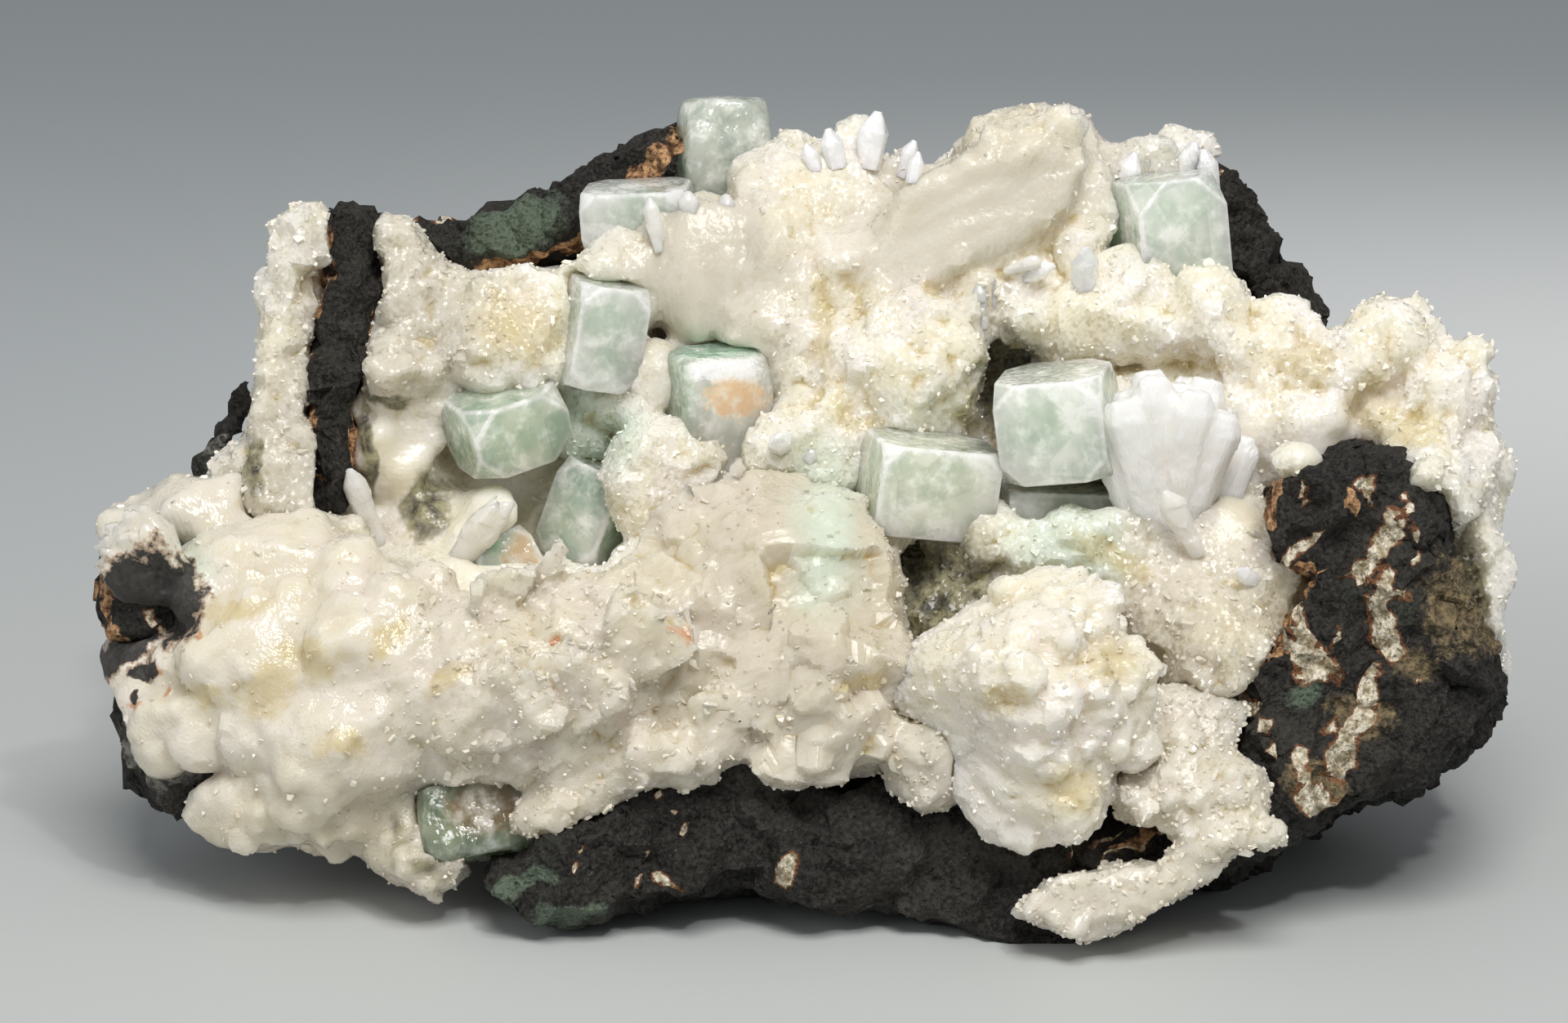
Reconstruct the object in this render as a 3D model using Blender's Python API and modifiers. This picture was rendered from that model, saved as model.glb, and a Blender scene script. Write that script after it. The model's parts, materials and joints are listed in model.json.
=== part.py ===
"""A natural specimen: clear, pale green apophyllite crystals and white stilbite, grown together
in a hollow of dark basalt. The open side of the hollow faces the viewer and leans back a little,
and the rock stands on a flat underside."""

import math
import random

import bmesh
import bpy
from mathutils import Euler, Matrix, Vector, noise

MM = 0.001

# Places are millimetres on the open side of the specimen: right, up, and out towards the viewer.
# The open side leans back by FACE_LEAN, and is seen from SIGHT_DISTANCE before its middle.
FACE_LEAN = math.radians(15)
SIGHT_DISTANCE = 500.0
SIGHT_RIGHT = -0.6
SIGHT_UP = 41.0

JOINT_GAP = 0.4
CLEARING_GAPS = (JOINT_GAP, 0.2, 0.05)
MERGE = 0.001
# How much farther than a flat face the tip of a sharp edge may move when a pocket is widened.
SHARPEST = 1.6
# The lowest sheaf ends this far above the flat underside.
FOOT_LIFT = 0.4
# The sizes of the squares in the skin that joins the shapes of each piece
ROCK_SKIN = 1.8
CRUST_SKIN = 1.1
SHEAF_SKIN = 0.9
FAN_SKIN = 0.7
# About how many triangles that skin keeps
ROCK_TRIANGLES = 1400
CRUST_TRIANGLES = 1650
FRONT_TRIANGLES = 900
WEDGE_TRIANGLES = 420
BOW_TIE_TRIANGLES = 280
LEDGE_TRIANGLES = 220

FACE_AXES = Matrix(
    (
        (1, 0, 0),
        (0, math.sin(FACE_LEAN), -math.cos(FACE_LEAN)),
        (0, math.cos(FACE_LEAN), math.sin(FACE_LEAN)),
    )
)

BASALT = ("basalt", (0.036, 0.033, 0.030), 0.85)
STILBITE = ("stilbite", (0.80, 0.77, 0.69), 0.45)
CRUST = ("stilbite_crust", (0.74, 0.70, 0.55), 0.5)
APOPHYLLITE = ("apophyllite", (0.56, 0.74, 0.62), 0.12)


def clear_scene():
    for old in list(bpy.data.objects):
        bpy.data.objects.remove(old)


def material(finish):
    name, colour, roughness = finish
    made = bpy.data.materials.get(name)
    if made is None:
        made = bpy.data.materials.new(name)
        made.use_nodes = True
        shader = made.node_tree.nodes["Principled BSDF"]
        shader.inputs["Base Color"].default_value = (*colour, 1)
        shader.inputs["Roughness"].default_value = roughness
        made.diffuse_color = (*colour, 1)
    return made


# Places on the open side


def turned(turn):
    """A rotation in degrees. Of the three angles about right, up and out, the one about up
    comes first, then the one about right, and the one about out last."""
    return Euler([math.radians(angle) for angle in turn], "YXZ").to_matrix()


def placed(at, turn=(0, 0, 0)):
    """The matrix of a place. What stands out nearer the viewer is drawn in along the line of
    sight, and made smaller with it, so that it still covers the same stretch of the view."""
    right, up, out = at
    near = 1 - out / SIGHT_DISTANCE
    right = SIGHT_RIGHT + (right - SIGHT_RIGHT) * near
    up = SIGHT_UP + (up - SIGHT_UP) * near
    where = FACE_AXES @ Vector((right, up, out))
    spin = (FACE_AXES @ turned(turn)).to_quaternion()
    return Matrix.LocRotScale(where * MM, spin, Vector((MM * near,) * 3))


# Shapes that the solids are built from, each added to a bmesh


def add_lump(mesh, at, size, turn=(0, 0, 0)):
    """An ellipsoid of the given width, height and depth."""
    scale = Matrix.Diagonal((size[0] / 2, size[1] / 2, size[2] / 2, 1))
    bmesh.ops.create_icosphere(mesh, subdivisions=3, radius=1, matrix=placed(at, turn) @ scale)


def add_block(mesh, at, size, turn=(0, 0, 0)):
    scale = Matrix.Diagonal((*size, 1))
    bmesh.ops.create_cube(mesh, size=1, matrix=placed(at, turn) @ scale)


def add_slab(mesh, outline, front, back, inset=0.0):
    """A plate between two distances out, whose sides run along the sight lines through the
    given outline. The inset draws the outline in."""
    curve = bpy.data.curves.new("outline", "CURVE")
    curve.dimensions = "2D"
    curve.fill_mode = "BOTH"
    curve.extrude = (front - back) / 2
    curve.offset = -inset
    spline = curve.splines.new("POLY")
    spline.points.add(len(outline) - 1)
    for point, (right, up) in zip(spline.points, outline):
        point.co = (right, up, 0, 1)
    spline.use_cyclic_u = True
    holder = bpy.data.objects.new("outline", curve)
    plate = bpy.data.meshes.new_from_object(holder)
    middle = Vector((0, 0, (front + back) / 2))
    for vertex in plate.vertices:
        vertex.co = placed(vertex.co + middle).translation
    before = len(mesh.verts)
    mesh.from_mesh(plate)
    mesh.verts.ensure_lookup_table()
    bmesh.ops.remove_doubles(mesh, verts=mesh.verts[before:], dist=MERGE * MM)
    bpy.data.objects.remove(holder)
    bpy.data.curves.remove(curve)
    bpy.data.meshes.remove(plate)


def add_blade(mesh, at, size, turn=(0, 0, 0), foot=0.6, tip=0.35, tip_share=0.2):
    """A flat six-sided crystal that stands on its foot at the place and ends in a blunt point."""
    width, length, depth = size
    body = length * (1 - tip_share)
    upright = Matrix.Rotation(math.radians(-90), 4, "X")
    flat = Matrix.Diagonal((width / 2, 1, depth / 2, 1))
    frame = placed(at, turn) @ flat @ upright
    ring = []
    for radius1, radius2, start, end in ((foot, 1, 0, body), (1, tip, body, length)):
        made = bmesh.ops.create_cone(
            mesh,
            segments=6,
            radius1=radius1,
            radius2=radius2,
            depth=end - start,
            matrix=frame @ Matrix.Translation((0, 0, (start + end) / 2)),
        )
        ring += made["verts"]
    bmesh.ops.remove_doubles(mesh, verts=ring, dist=MERGE * MM)
    ring = [vertex for vertex in ring if vertex.is_valid]
    ends = {edge for vertex in ring for edge in vertex.link_edges if edge.is_boundary}
    bmesh.ops.holes_fill(mesh, edges=list(ends), sides=6)
    skin = {face for vertex in ring for face in vertex.link_faces}
    bmesh.ops.recalc_face_normals(mesh, faces=list(skin))


def add_sheaf(mesh, at, length, turn, spread, rows, blade, seed):
    """Blades that share a foot and fan out: spread is in degrees across and in depth, and rows
    is how many blades there are each way."""
    chance = random.Random(seed)
    across, deep = rows
    lean = turned(turn)
    for i in range(across):
        for j in range(deep):
            share_across = 2 * i / max(across - 1, 1) - 1
            share_deep = 2 * j / max(deep - 1, 1) - 1
            fan = turned(
                (
                    share_deep * spread[1] + chance.uniform(-2, 2),
                    chance.uniform(-8, 8),
                    -share_across * spread[0] + chance.uniform(-2, 2),
                )
            )
            whole = [math.degrees(angle) for angle in (lean @ fan).to_euler("YXZ")]
            shortening = 0.06 * (share_across**2 + share_deep**2)
            reach = length * (1 - shortening + chance.uniform(-0.05, 0.05))
            width = blade[0] * chance.uniform(0.85, 1.15)
            depth = blade[1] * chance.uniform(0.85, 1.15)
            add_blade(mesh, at, (width, reach, depth), whole)


def add_lumps(mesh, lumps):
    for lump in lumps:
        add_lump(mesh, *lump)


# From shapes to one closed solid


def new_object(name, mesh, finish, collection):
    data = bpy.data.meshes.new(name)
    mesh.to_mesh(data)
    mesh.free()
    made = bpy.data.objects.new(name, data)
    collection.objects.link(made)
    data.materials.append(material(finish))
    return made


def apply_modifiers(part):
    """Swaps the object's mesh for the one that its modifiers make."""
    graph = bpy.context.evaluated_depsgraph_get()
    made = bpy.data.meshes.new_from_object(part.evaluated_get(graph))
    part.modifiers.clear()
    old, part.data = part.data, made
    bpy.data.meshes.remove(old)
    made.name = part.name


def fuse(part, skin):
    """Joins overlapping shapes in one skin, made of squares of this many millimetres."""
    remesh = part.modifiers.new("fuse", "REMESH")
    remesh.mode = "VOXEL"
    remesh.voxel_size = skin * MM
    apply_modifiers(part)


def roughen(part, width, depth, seed):
    """Moves the skin in and out by a noise with lumps of the given width."""
    shift = Vector((seed * 3.1, seed * 1.7, seed * 2.3))
    normals = [vertex.normal.copy() for vertex in part.data.vertices]
    for vertex, normal in zip(part.data.vertices, normals):
        spot = vertex.co / (width * MM) + shift
        vertex.co += normal * (noise.fractal(spot, 0.9, 2.1, 3) * depth * MM)


def chip(part, at, outward):
    """Breaks off what lies beyond a plane through the place, and leaves a flat face there."""
    mesh = bmesh.new()
    mesh.from_mesh(part.data)
    cut = bmesh.ops.bisect_plane(
        mesh,
        geom=mesh.verts[:] + mesh.edges[:] + mesh.faces[:],
        plane_co=placed(at).translation,
        plane_no=FACE_AXES @ Vector(outward).normalized(),
        clear_outer=True,
    )
    rim = [piece for piece in cut["geom_cut"] if isinstance(piece, bmesh.types.BMEdge)]
    bmesh.ops.triangle_fill(mesh, use_beauty=True, use_dissolve=False, edges=rim)
    bmesh.ops.recalc_face_normals(mesh, faces=mesh.faces)
    mesh.to_mesh(part.data)
    mesh.free()


def thin_out(part, triangles):
    """Keeps the shape with about this many triangles."""
    split = part.modifiers.new("split", "TRIANGULATE")
    split.quad_method = "BEAUTY"
    apply_modifiers(part)
    thin = part.modifiers.new("thin", "DECIMATE")
    thin.ratio = min(1.0, triangles / len(part.data.polygons))
    apply_modifiers(part)


def keep_largest(part):
    """Deletes the crumbs that a cut leaves beside the main body."""
    mesh = bmesh.new()
    mesh.from_mesh(part.data)
    left = set(mesh.faces)
    bodies = []
    while left:
        body, todo = [], [left.pop()]
        while todo:
            face = todo.pop()
            body.append(face)
            for edge in face.edges:
                for other in edge.link_faces:
                    if other in left:
                        left.discard(other)
                        todo.append(other)
        bodies.append(body)
    bodies.sort(key=lambda body: -sum(face.calc_area() for face in body))
    crumbs = {vertex for body in bodies[1:] for face in body for vertex in face.verts}
    bmesh.ops.delete(mesh, geom=list(crumbs), context="VERTS")
    mesh.to_mesh(part.data)
    mesh.free()


def change_by(part, operation, mesh, helpers):
    """Cuts, joins or crosses the part with the solid in the bmesh."""
    helper = new_object("helper", mesh, CRUST, helpers)
    change = part.modifiers.new("change", "BOOLEAN")
    change.operation = operation
    change.object = helper
    apply_modifiers(part)
    bpy.data.objects.remove(helper)


def cut_by(part, neighbours, helpers):
    """Cuts a pocket for each neighbour, wider than it by the joint gap. The widened shape
    crosses itself in tight corners, so closer cuts clear what is left there."""
    for neighbour in neighbours:
        for gap in CLEARING_GAPS:
            mesh = bmesh.new()
            mesh.from_mesh(neighbour.data)
            mesh.normal_update()
            moves = [corner.normal * min(corner.calc_shell_factor(), SHARPEST) for corner in mesh.verts]
            for corner, move in zip(mesh.verts, moves):
                corner.co += move * (gap * MM)
            change_by(part, "DIFFERENCE", mesh, helpers)
    keep_largest(part)


def cut_flat(part, height):
    """Levels the underside at this height."""
    mesh = bmesh.new()
    mesh.from_mesh(part.data)
    whole = mesh.verts[:] + mesh.edges[:] + mesh.faces[:]
    cut = bmesh.ops.bisect_plane(
        mesh, geom=whole, plane_co=(0, 0, height * MM), plane_no=(0, 0, 1), clear_inner=True
    )
    rim = [piece for piece in cut["geom_cut"] if isinstance(piece, bmesh.types.BMEdge)]
    bmesh.ops.triangle_fill(mesh, use_beauty=True, use_dissolve=False, edges=rim)
    bmesh.ops.recalc_face_normals(mesh, faces=mesh.faces)
    mesh.to_mesh(part.data)
    mesh.free()


def centre(parts):
    """Moves everything together, until the middle of its box is over the origin."""
    places = [vertex.co for part in parts for vertex in part.data.vertices]
    middle = Vector()
    for axis in (0, 1):
        middle[axis] = (min(place[axis] for place in places) + max(place[axis] for place in places)) / 2
    for part in parts:
        part.data.transform(Matrix.Translation(-middle))


# The rock

ROCK_BACK = [
    (-69, 12), (-72, 26), (-69, 36), (-61, 46), (-57, 60), (-55, 71), (-46, 73), (-26, 74), (-12, 80),
    (8, 76), (22, 80), (38, 77), (50, 75), (57, 64), (69, 58), (76, 44), (74, 22), (66, 12),
    (50, 6), (30, -2), (-20, 0), (-40, 4), (-58, 8),
]
FRONT_WALL = [
    (-35, 0), (-28, 3.5), (-22, 7.5), (-15, 9.5), (-7, 11.5), (-4, 13.5), (0, 11), (12, 10.5),
    (20, 10.5), (25, 8), (29, 6), (38, 6), (48, 7.5), (54, 10), (62, 10), (54, 4), (45, 0),
    (42, -3), (32, -7), (22, -6), (15, -5), (5, -4), (-2, -1), (-5, 1), (-14, -1), (-20, -3),
    (-28, -5), (-33, -1),
]
RIGHT_END = [
    (55, 44), (60, 46), (62, 48), (65, 49), (69, 46), (70, 42), (71, 43), (73.5, 43), (73, 36),
    (78, 28), (79, 20), (75, 14), (70, 9), (66, 10), (60, 8), (55, 4), (52, 10), (49, 17),
    (52, 22), (55, 27), (60, 33), (57, 36), (54, 35),
]
LEFT_TIP = [(-77, 35), (-73, 38), (-71, 38), (-65, 34), (-68, 29), (-71, 26), (-74, 24), (-77, 27)]
LEFT_END = [(-76, 17), (-76, 33), (-72, 37), (-58, 36), (-54, 15), (-64, 10), (-69, 7), (-72, 10)]
LEFT_FOOT = [(-76, 17), (-73, 10), (-69, 6), (-65, 8), (-63, 12), (-68, 16)]
LEFT_RIB = [
    (-52, 75.5), (-47.5, 75), (-45.5, 67), (-47, 60), (-48.5, 52), (-50, 41), (-53, 41),
    (-53, 52), (-53.5, 60), (-51.5, 67),
]
LEFT_SHOULDER = [
    (-68.5, 44), (-66, 50), (-63.5, 56), (-59, 57), (-56, 66), (-54, 73), (-48, 74), (-52, 42),
    (-62, 42),
]
TOP_LEFT_RIDGE = [
    (-46, 74), (-39, 72.5), (-36, 74.5), (-27, 77), (-22, 79), (-19, 82), (-16, 82.5),
    (-12, 86), (-9, 85), (-12, 79), (-22, 73), (-24, 70), (-34, 67), (-44, 68),
]
TOP_RIGHT_WALL = [
    (47, 79), (50, 80.5), (51.5, 78), (52.5, 74), (55.5, 71), (57.5, 68), (60.5, 63), (62, 61),
    (58, 56), (48, 58), (44, 76),
]


# The hollow: its outline on the open side, all round the visible edges of the rock
HOLLOW = [
    (-68, 42), (-65, 46), (-62, 49), (-60, 53), (-60, 58), (-59.5, 62), (-60, 70), (-57, 78),
    (-52, 78), (-51.5, 67), (-53.5, 60), (-53, 52), (-53, 41), (-50, 41), (-48.5, 52),
    (-47, 60), (-45.5, 67), (-47, 75), (-44, 76), (-40, 70), (-34, 67), (-24, 69), (-20, 74),
    (-11, 80), (-8, 90), (48, 90), (47.5, 80), (47, 75), (48, 70), (51, 66), (54, 64), (58, 64),
    (61, 61), (66, 66), (84, 66), (84, 18), (79, 22), (78, 28), (73.5, 36), (73.5, 43),
    (71, 43.5), (69, 46), (65, 49), (62, 48), (60, 46), (55, 44), (54, 35), (57, 36), (60, 33),
    (55, 27), (52, 22), (49, 17), (46, 13), (-36, 13), (-52, 17), (-60, 26), (-63, 36),
]
HOLLOW_FLOOR = -18.0
HOLLOW_FRONT = 60.0

# The broken faces of the back: a place on each, and the way that it looks
CHIPS = [
    ((0, 40, -41), (0.12, 0, -1)),
    ((-47, 40, -36), (-0.8, 0.1, -0.6)),
    ((48, 44, -37), (0.62, 0.3, -0.72)),
    ((-10, 70, -36), (-0.15, 0.75, -0.66)),
    ((20, 10, -33), (0.2, -0.75, -0.65)),
    ((-44, 8, -22), (-0.45, -0.8, -0.45)),
    ((70, 20, -18), (0.75, -0.35, -0.55)),
]


def make_basalt(collection, helpers):
    mesh = bmesh.new()
    add_slab(mesh, ROCK_BACK, -19, -30)
    add_lump(mesh, (2, 36, -30), (148, 80, 34))
    add_slab(mesh, FRONT_WALL, 21, -22)
    add_slab(mesh, RIGHT_END, 22, -20)
    add_slab(mesh, LEFT_END, 0, -24)
    add_slab(mesh, LEFT_TIP, 13, -4)
    add_slab(mesh, LEFT_FOOT, 13, -10)
    add_slab(mesh, LEFT_RIB, 1, -26)
    add_slab(mesh, LEFT_SHOULDER, -13, -26)
    add_slab(mesh, TOP_LEFT_RIDGE, -9, -28)
    add_slab(mesh, TOP_RIGHT_WALL, -12, -30)
    add_block(mesh, (9, 2, -12), (80, 14, 54), (-15, 0, 0))
    add_lump(mesh, (-64, 38, -16), (18, 26, 18))
    rock = new_object("basalt_matrix", mesh, BASALT, collection)
    fuse(rock, ROCK_SKIN)
    for at, outward in CHIPS:
        chip(rock, at, outward)
    fuse(rock, ROCK_SKIN)
    roughen(rock, 20, 1.6, 1)
    roughen(rock, 7, 1.2, 2)
    thin_out(rock, ROCK_TRIANGLES)
    hollow = bmesh.new()
    add_slab(hollow, HOLLOW, HOLLOW_FRONT, HOLLOW_FLOOR)
    change_by(rock, "DIFFERENCE", hollow, helpers)
    keep_largest(rock)
    cut_flat(rock, 0)
    return rock


# The stilbite

# The layer that lines the hollow, under the lumps
LINING = [
    (-64, 37), (-62, 46), (-58, 54), (-57, 66), (-55, 72), (-44, 71), (-36, 66), (-24, 68),
    (-20, 73), (-11, 78), (-8, 82), (0, 79), (10, 78), (20, 81), (32, 81), (38, 78), (46, 79),
    (48, 72), (53, 62), (60, 60), (66, 60), (74, 55), (77, 42), (77, 26), (60, 20), (50, 10),
    (-36, 10), (-52, 14), (-60, 24),
]
LINING_FRONT = -8.0

CRUST_LUMPS = [
    # left of the rib: the bumpy column, its knob, and the shoulder
    ((-54, 71.5, -2), (9, 9, 10)),
    ((-56, 65, -3), (7, 13, 10), (0, 0, -10)),
    ((-57.5, 56, -2), (9, 15, 12), (0, 0, -8)),
    ((-57, 46, -1), (11, 14, 12)),
    ((-54, 40, 1), (9, 7, 10)),
    ((-50.5, 38.5, 2), (6, 6, 8)),
    ((-64, 46, -4), (8, 11, 10)),
    ((-63, 41, 0), (12, 7, 12)),
    # upper left
    ((-42, 65, -4), (13, 19, 13)),
    ((-46, 57, 1), (9, 6, 10)),
    ((-36, 67, -5), (14, 9, 12)),
    ((-45, 48, -6), (12, 15, 14)),
    ((-45, 39, -7), (11, 9, 12)),
    ((-40, 55, -4), (9, 9, 10)),
    ((-31, 61, -2), (18, 14, 14)),
    ((-19, 67, -3), (13, 15, 14)),
    ((-15, 71, -6), (16, 11, 14)),
    ((-24, 50, -8), (14, 14, 12)),
    ((-38, 38, -5), (12, 12, 14)),
    ((-19, 55, -4), (10, 12, 12)),
    ((-15, 45, 3), (12, 15, 12)),
    # top middle
    ((0, 77, -9), (16, 12, 16)),
    ((6, 75, -7), (12, 15, 14)),
    ((-2, 70, -3), (12, 16, 14)),
    ((6, 68, -2), (13, 12, 13)),
    ((-3, 62, -1), (13, 10, 12)),
    ((13, 58, 3), (18, 16, 15)),
    ((5, 57, 0), (14, 11, 12)),
    ((4, 51, 2), (14, 10, 12)),
    ((-2, 49, 2), (12, 10, 12)),
    ((13, 50, 2), (14, 8, 12)),
    # right of the middle
    ((22, 72, -2), (17, 11, 14)),
    ((23, 65, -2), (13, 9, 12)),
    ((32, 64, 0), (11, 9, 12)),
    ((39, 63, 2), (11, 8, 12)),
    ((46, 62, 2), (12, 8, 12)),
    ((33, 74, -4), (12, 13, 12)),
    ((36, 79, -11), (16, 7, 12)),
    ((41, 80, -17), (8, 6, 9)),
    ((46, 80.5, -18), (9, 6, 10)),
    ((53, 58, 2), (16, 12, 14)),
    ((60, 57, 3), (13, 13, 14)),
    ((52, 50, 3), (12, 14, 13)),
    ((58, 49, 5), (12, 12, 13)),
    # the filling behind the front
    ((-38, 24, 1), (60, 26, 22)),
    ((-4, 28, 2), (40, 28, 22)),
    ((24, 26, 4), (34, 24, 20)),
    ((46, 26, 4), (24, 34, 18)),
    ((38, 48, 0), (26, 18, 12)),
    ((-64, 40, -7), (14, 12, 18)),
    # the right end, behind its rock
    ((74, 50, -8), (11, 18, 20)),
    ((75, 36, -7), (8, 24, 24)),
    ((75, 26, -6), (7, 14, 20)),
    ((71, 44, 8), (12, 16, 16)),
    ((67, 59, 1), (14, 11, 15)),
    ((73.5, 54, 1), (12, 12, 15)),
    ((75, 45, 2), (11, 15, 15)),
    ((77, 34, 3), (7, 18, 14)),
    ((77.5, 25, 4), (5, 14, 12)),
    # under the crystals, and the shelf beside the wedge
    ((23, 37, 8), (13, 11, 14)),
    ((33, 36, 9), (15, 11, 14)),
    ((42, 38, 8), (14, 12, 14)),
    ((49, 38, 8), (12, 12, 14)),
    ((20, 30, -1), (22, 18, 16)),
    ((36, 29, 4), (18, 12, 18)),
    ((45, 30, 12), (15, 11, 16)),
    ((48, 24, 15), (15, 12, 16)),
    ((54, 33, 11), (9, 12, 14)),
]

# Blades that stand out of the crust: place, size and turn
CRUST_BLADES = [
    # the tips along the top
    ((6, 76, -7), (5, 9, 4), (0, 10, -8)),
    ((8.5, 76, -7), (4.5, 9.5, 4), (0, 0, 4)),
    ((12, 74, -8), (4, 8, 4), (0, 0, -6)),
    ((2, 76, -9), (5, 8, 4), (0, 0, 14)),
    # the pale slab at the top left
    ((-9, 55, -4), (13, 22, 8), (0, 18, 5)),
    # beside the crystals on the right
    ((49, 37, 3), (6, 17, 6), (0, 24, -4)),
    ((46, 60, 3), (5, 18, 4), (0, 0, 84)),
    ((22, 68, 4), (4, 8, 4), (0, 0, 158)),
    ((28.5, 68, 3), (3.5, 5, 3.5), (0, 0, 88)),
    ((33, 66, 2), (5, 7, 5), (0, 20, 6)),
    ((62, 47, 6), (7, 9, 5), (0, 0, 60)),
    # the ribbed blades in the lower left of the hollow
    ((-39, 33, 1), (6, 13, 6), (0, 20, -34)),
    ((-37, 31, 3), (5, 13, 5), (0, 20, -26)),
    ((-40, 36, -1), (5, 10, 5), (0, 20, -44)),
    # above the knob of the left column
    ((-42, 66, 0), (6, 9, 5), (0, 0, 24)),
    ((-35, 66, -4), (4, 6, 4), (0, 0, -20)),
]


def add_barrel(mesh):
    """The sheaf that lies across the top, seen along its side."""
    for i in range(5):
        for j in range(3):
            step = i - 2
            place = (11 + 0.5 * step, 71 + 2.1 * step, -3 + 3.5 * j)
            add_blade(mesh, place, (4.6, 25 - abs(step), 4.4), (0, 30 * j, -66 + 2 * step))


def make_crust(collection, helpers):
    mesh = bmesh.new()
    add_slab(mesh, LINING, LINING_FRONT, HOLLOW_FLOOR - 6)
    add_lumps(mesh, CRUST_LUMPS)
    add_barrel(mesh)
    add_lump(mesh, (25, 82.5, -6), (12, 8, 11))
    add_lump(mesh, (30, 82, -6), (9, 9, 11))
    crust = new_object("stilbite_crust", mesh, CRUST, collection)
    fuse(crust, CRUST_SKIN)
    roughen(crust, 7, 1.1, 3)
    thin_out(crust, CRUST_TRIANGLES)
    for blade in CRUST_BLADES:
        single = bmesh.new()
        add_blade(single, *blade)
        change_by(crust, "UNION", single, helpers)
    room = bmesh.new()
    add_slab(room, HOLLOW, HOLLOW_FRONT, HOLLOW_FLOOR + JOINT_GAP, JOINT_GAP)
    change_by(crust, "INTERSECT", room, helpers)
    keep_largest(crust)
    return crust


FRONT_LUMPS = [
    ((-72, 39.5, 1), (13, 5.5, 10), (0, 0, 10)),
    ((-66, 41, 1), (14, 9, 12), (0, 0, 10)),
    ((-58, 35, 8), (20, 11, 16)),
    ((-48, 31.5, 10), (18, 9.5, 15)),
    ((-69, 24, 4), (15, 18, 16)),
    ((-58, 25, 12), (22, 18, 20)),
    ((-64, 18, 9), (20, 12, 18)),
    ((-50, 16, 16), (24, 15, 18)),
    ((-45, 25, 16), (22, 16, 18)),
    ((-34, 22, 17), (26, 19, 18), (0, 0, 4)),
    ((-22, 24, 17), (24, 19, 18), (0, 0, 12)),
    ((-12, 28, 15), (22, 19, 18), (0, 0, 18)),
    ((-28, 14, 16), (28, 7, 14), (0, 0, 8)),
    ((-7, 37, 12), (19, 15, 16), (0, 0, 30)),
    ((1, 33, 14), (24, 20, 18)),
    ((6, 39, 9), (18, 9, 14), (0, 0, -10)),
    ((2, 24, 18), (24, 15, 18)),
    ((10, 24.5, 20), (12, 6, 12), (0, 0, -14)),
    # the ledges below it
    ((5, 16.5, 17), (18, 9, 18)),
    ((0, 12, 20), (9, 5, 12)),
    ((-12, 14, 18), (20, 7, 16), (0, 0, 14)),
    ((16, 14, 18), (12, 9, 16), (0, 0, -30)),
    ((15, 9.5, 21), (6, 5, 10)),
    ((-54, 8, 10), (30, 10, 18)),
    ((-41, 2.5, 13), (12, 7, 16)),
    ((-43, 8, 10), (14, 10, 14)),
    ((-26, 7.5, 17), (13, 6, 14), (0, 0, 24)),
    ((-20, 11, 16), (12, 7, 14), (0, 0, 20)),
]


# The flat backs where these sheaves sit on the crust: a place on each, and the way that it looks
FRONT_BACK = ((-35, 20, 1), (0.13, 0, -1))
WEDGE_BACK = ((28, 18, 17), (0, 0, -1))


def make_front(collection):
    """The long swell across the lower front and the heap in the middle, grown together."""
    mesh = bmesh.new()
    add_lumps(mesh, FRONT_LUMPS)
    front = new_object("front_sheaves", mesh, STILBITE, collection)
    fuse(front, SHEAF_SKIN)
    roughen(front, 8, 1.4, 5)
    chip(front, *FRONT_BACK)
    thin_out(front, FRONT_TRIANGLES)
    return front


def make_wedge(collection):
    """The half sheaf at the lower right, which widens from its foot to a lumpy crown."""
    mesh = bmesh.new()
    add_sheaf(mesh, (11, 22, 19), 29, (16, 30, -101), (30, 24), (5, 4), (8.5, 7.5), 11)
    add_lump(mesh, (31, 20, 26), (20, 19, 15))
    add_lump(mesh, (31.5, 9, 27), (8, 11, 11))
    wedge = new_object("wedge_sheaf", mesh, STILBITE, collection)
    fuse(wedge, SHEAF_SKIN)
    chip(wedge, *WEDGE_BACK)
    thin_out(wedge, WEDGE_TRIANGLES)
    return wedge


LEDGE_LUMPS = [
    ((44, 17, 18), (12, 10, 14)),
    ((46, 10, 22), (15, 9, 14)),
    ((40, 9, 22), (8, 7, 12)),
    ((50, 9, 21), (8, 6, 12)),
]
FOOT_STRIP = [(25, -4), (31, 0), (41, 1.5), (47, 6), (53, 9), (54, 5), (50, 3), (43, -2.5), (33, -6.8)]
LEDGE_BACK = ((45, 10, 12), (0, 0, -1))


def make_ledge(collection):
    """The ledge right of the wedge, and the strip that runs from it down to the foot."""
    mesh = bmesh.new()
    add_lumps(mesh, LEDGE_LUMPS)
    add_slab(mesh, FOOT_STRIP, 29, 17)
    ledge = new_object("ledge_sheaf", mesh, STILBITE, collection)
    fuse(ledge, SHEAF_SKIN)
    roughen(ledge, 6, 1.2, 8)
    chip(ledge, *LEDGE_BACK)
    thin_out(ledge, LEDGE_TRIANGLES)
    cut_flat(ledge, FOOT_LIFT)
    return ledge


def make_bow_tie(collection):
    """The white fan right of the crystals."""
    mesh = bmesh.new()
    add_sheaf(mesh, (43, 34, 8), 23, (8, -14, 2), (19, 8), (5, 2), (5, 4), 5)
    fan = new_object("bow_tie_sheaf", mesh, STILBITE, collection)
    fuse(fan, FAN_SKIN)
    thin_out(fan, BOW_TIE_TRIANGLES)
    return fan


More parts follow.
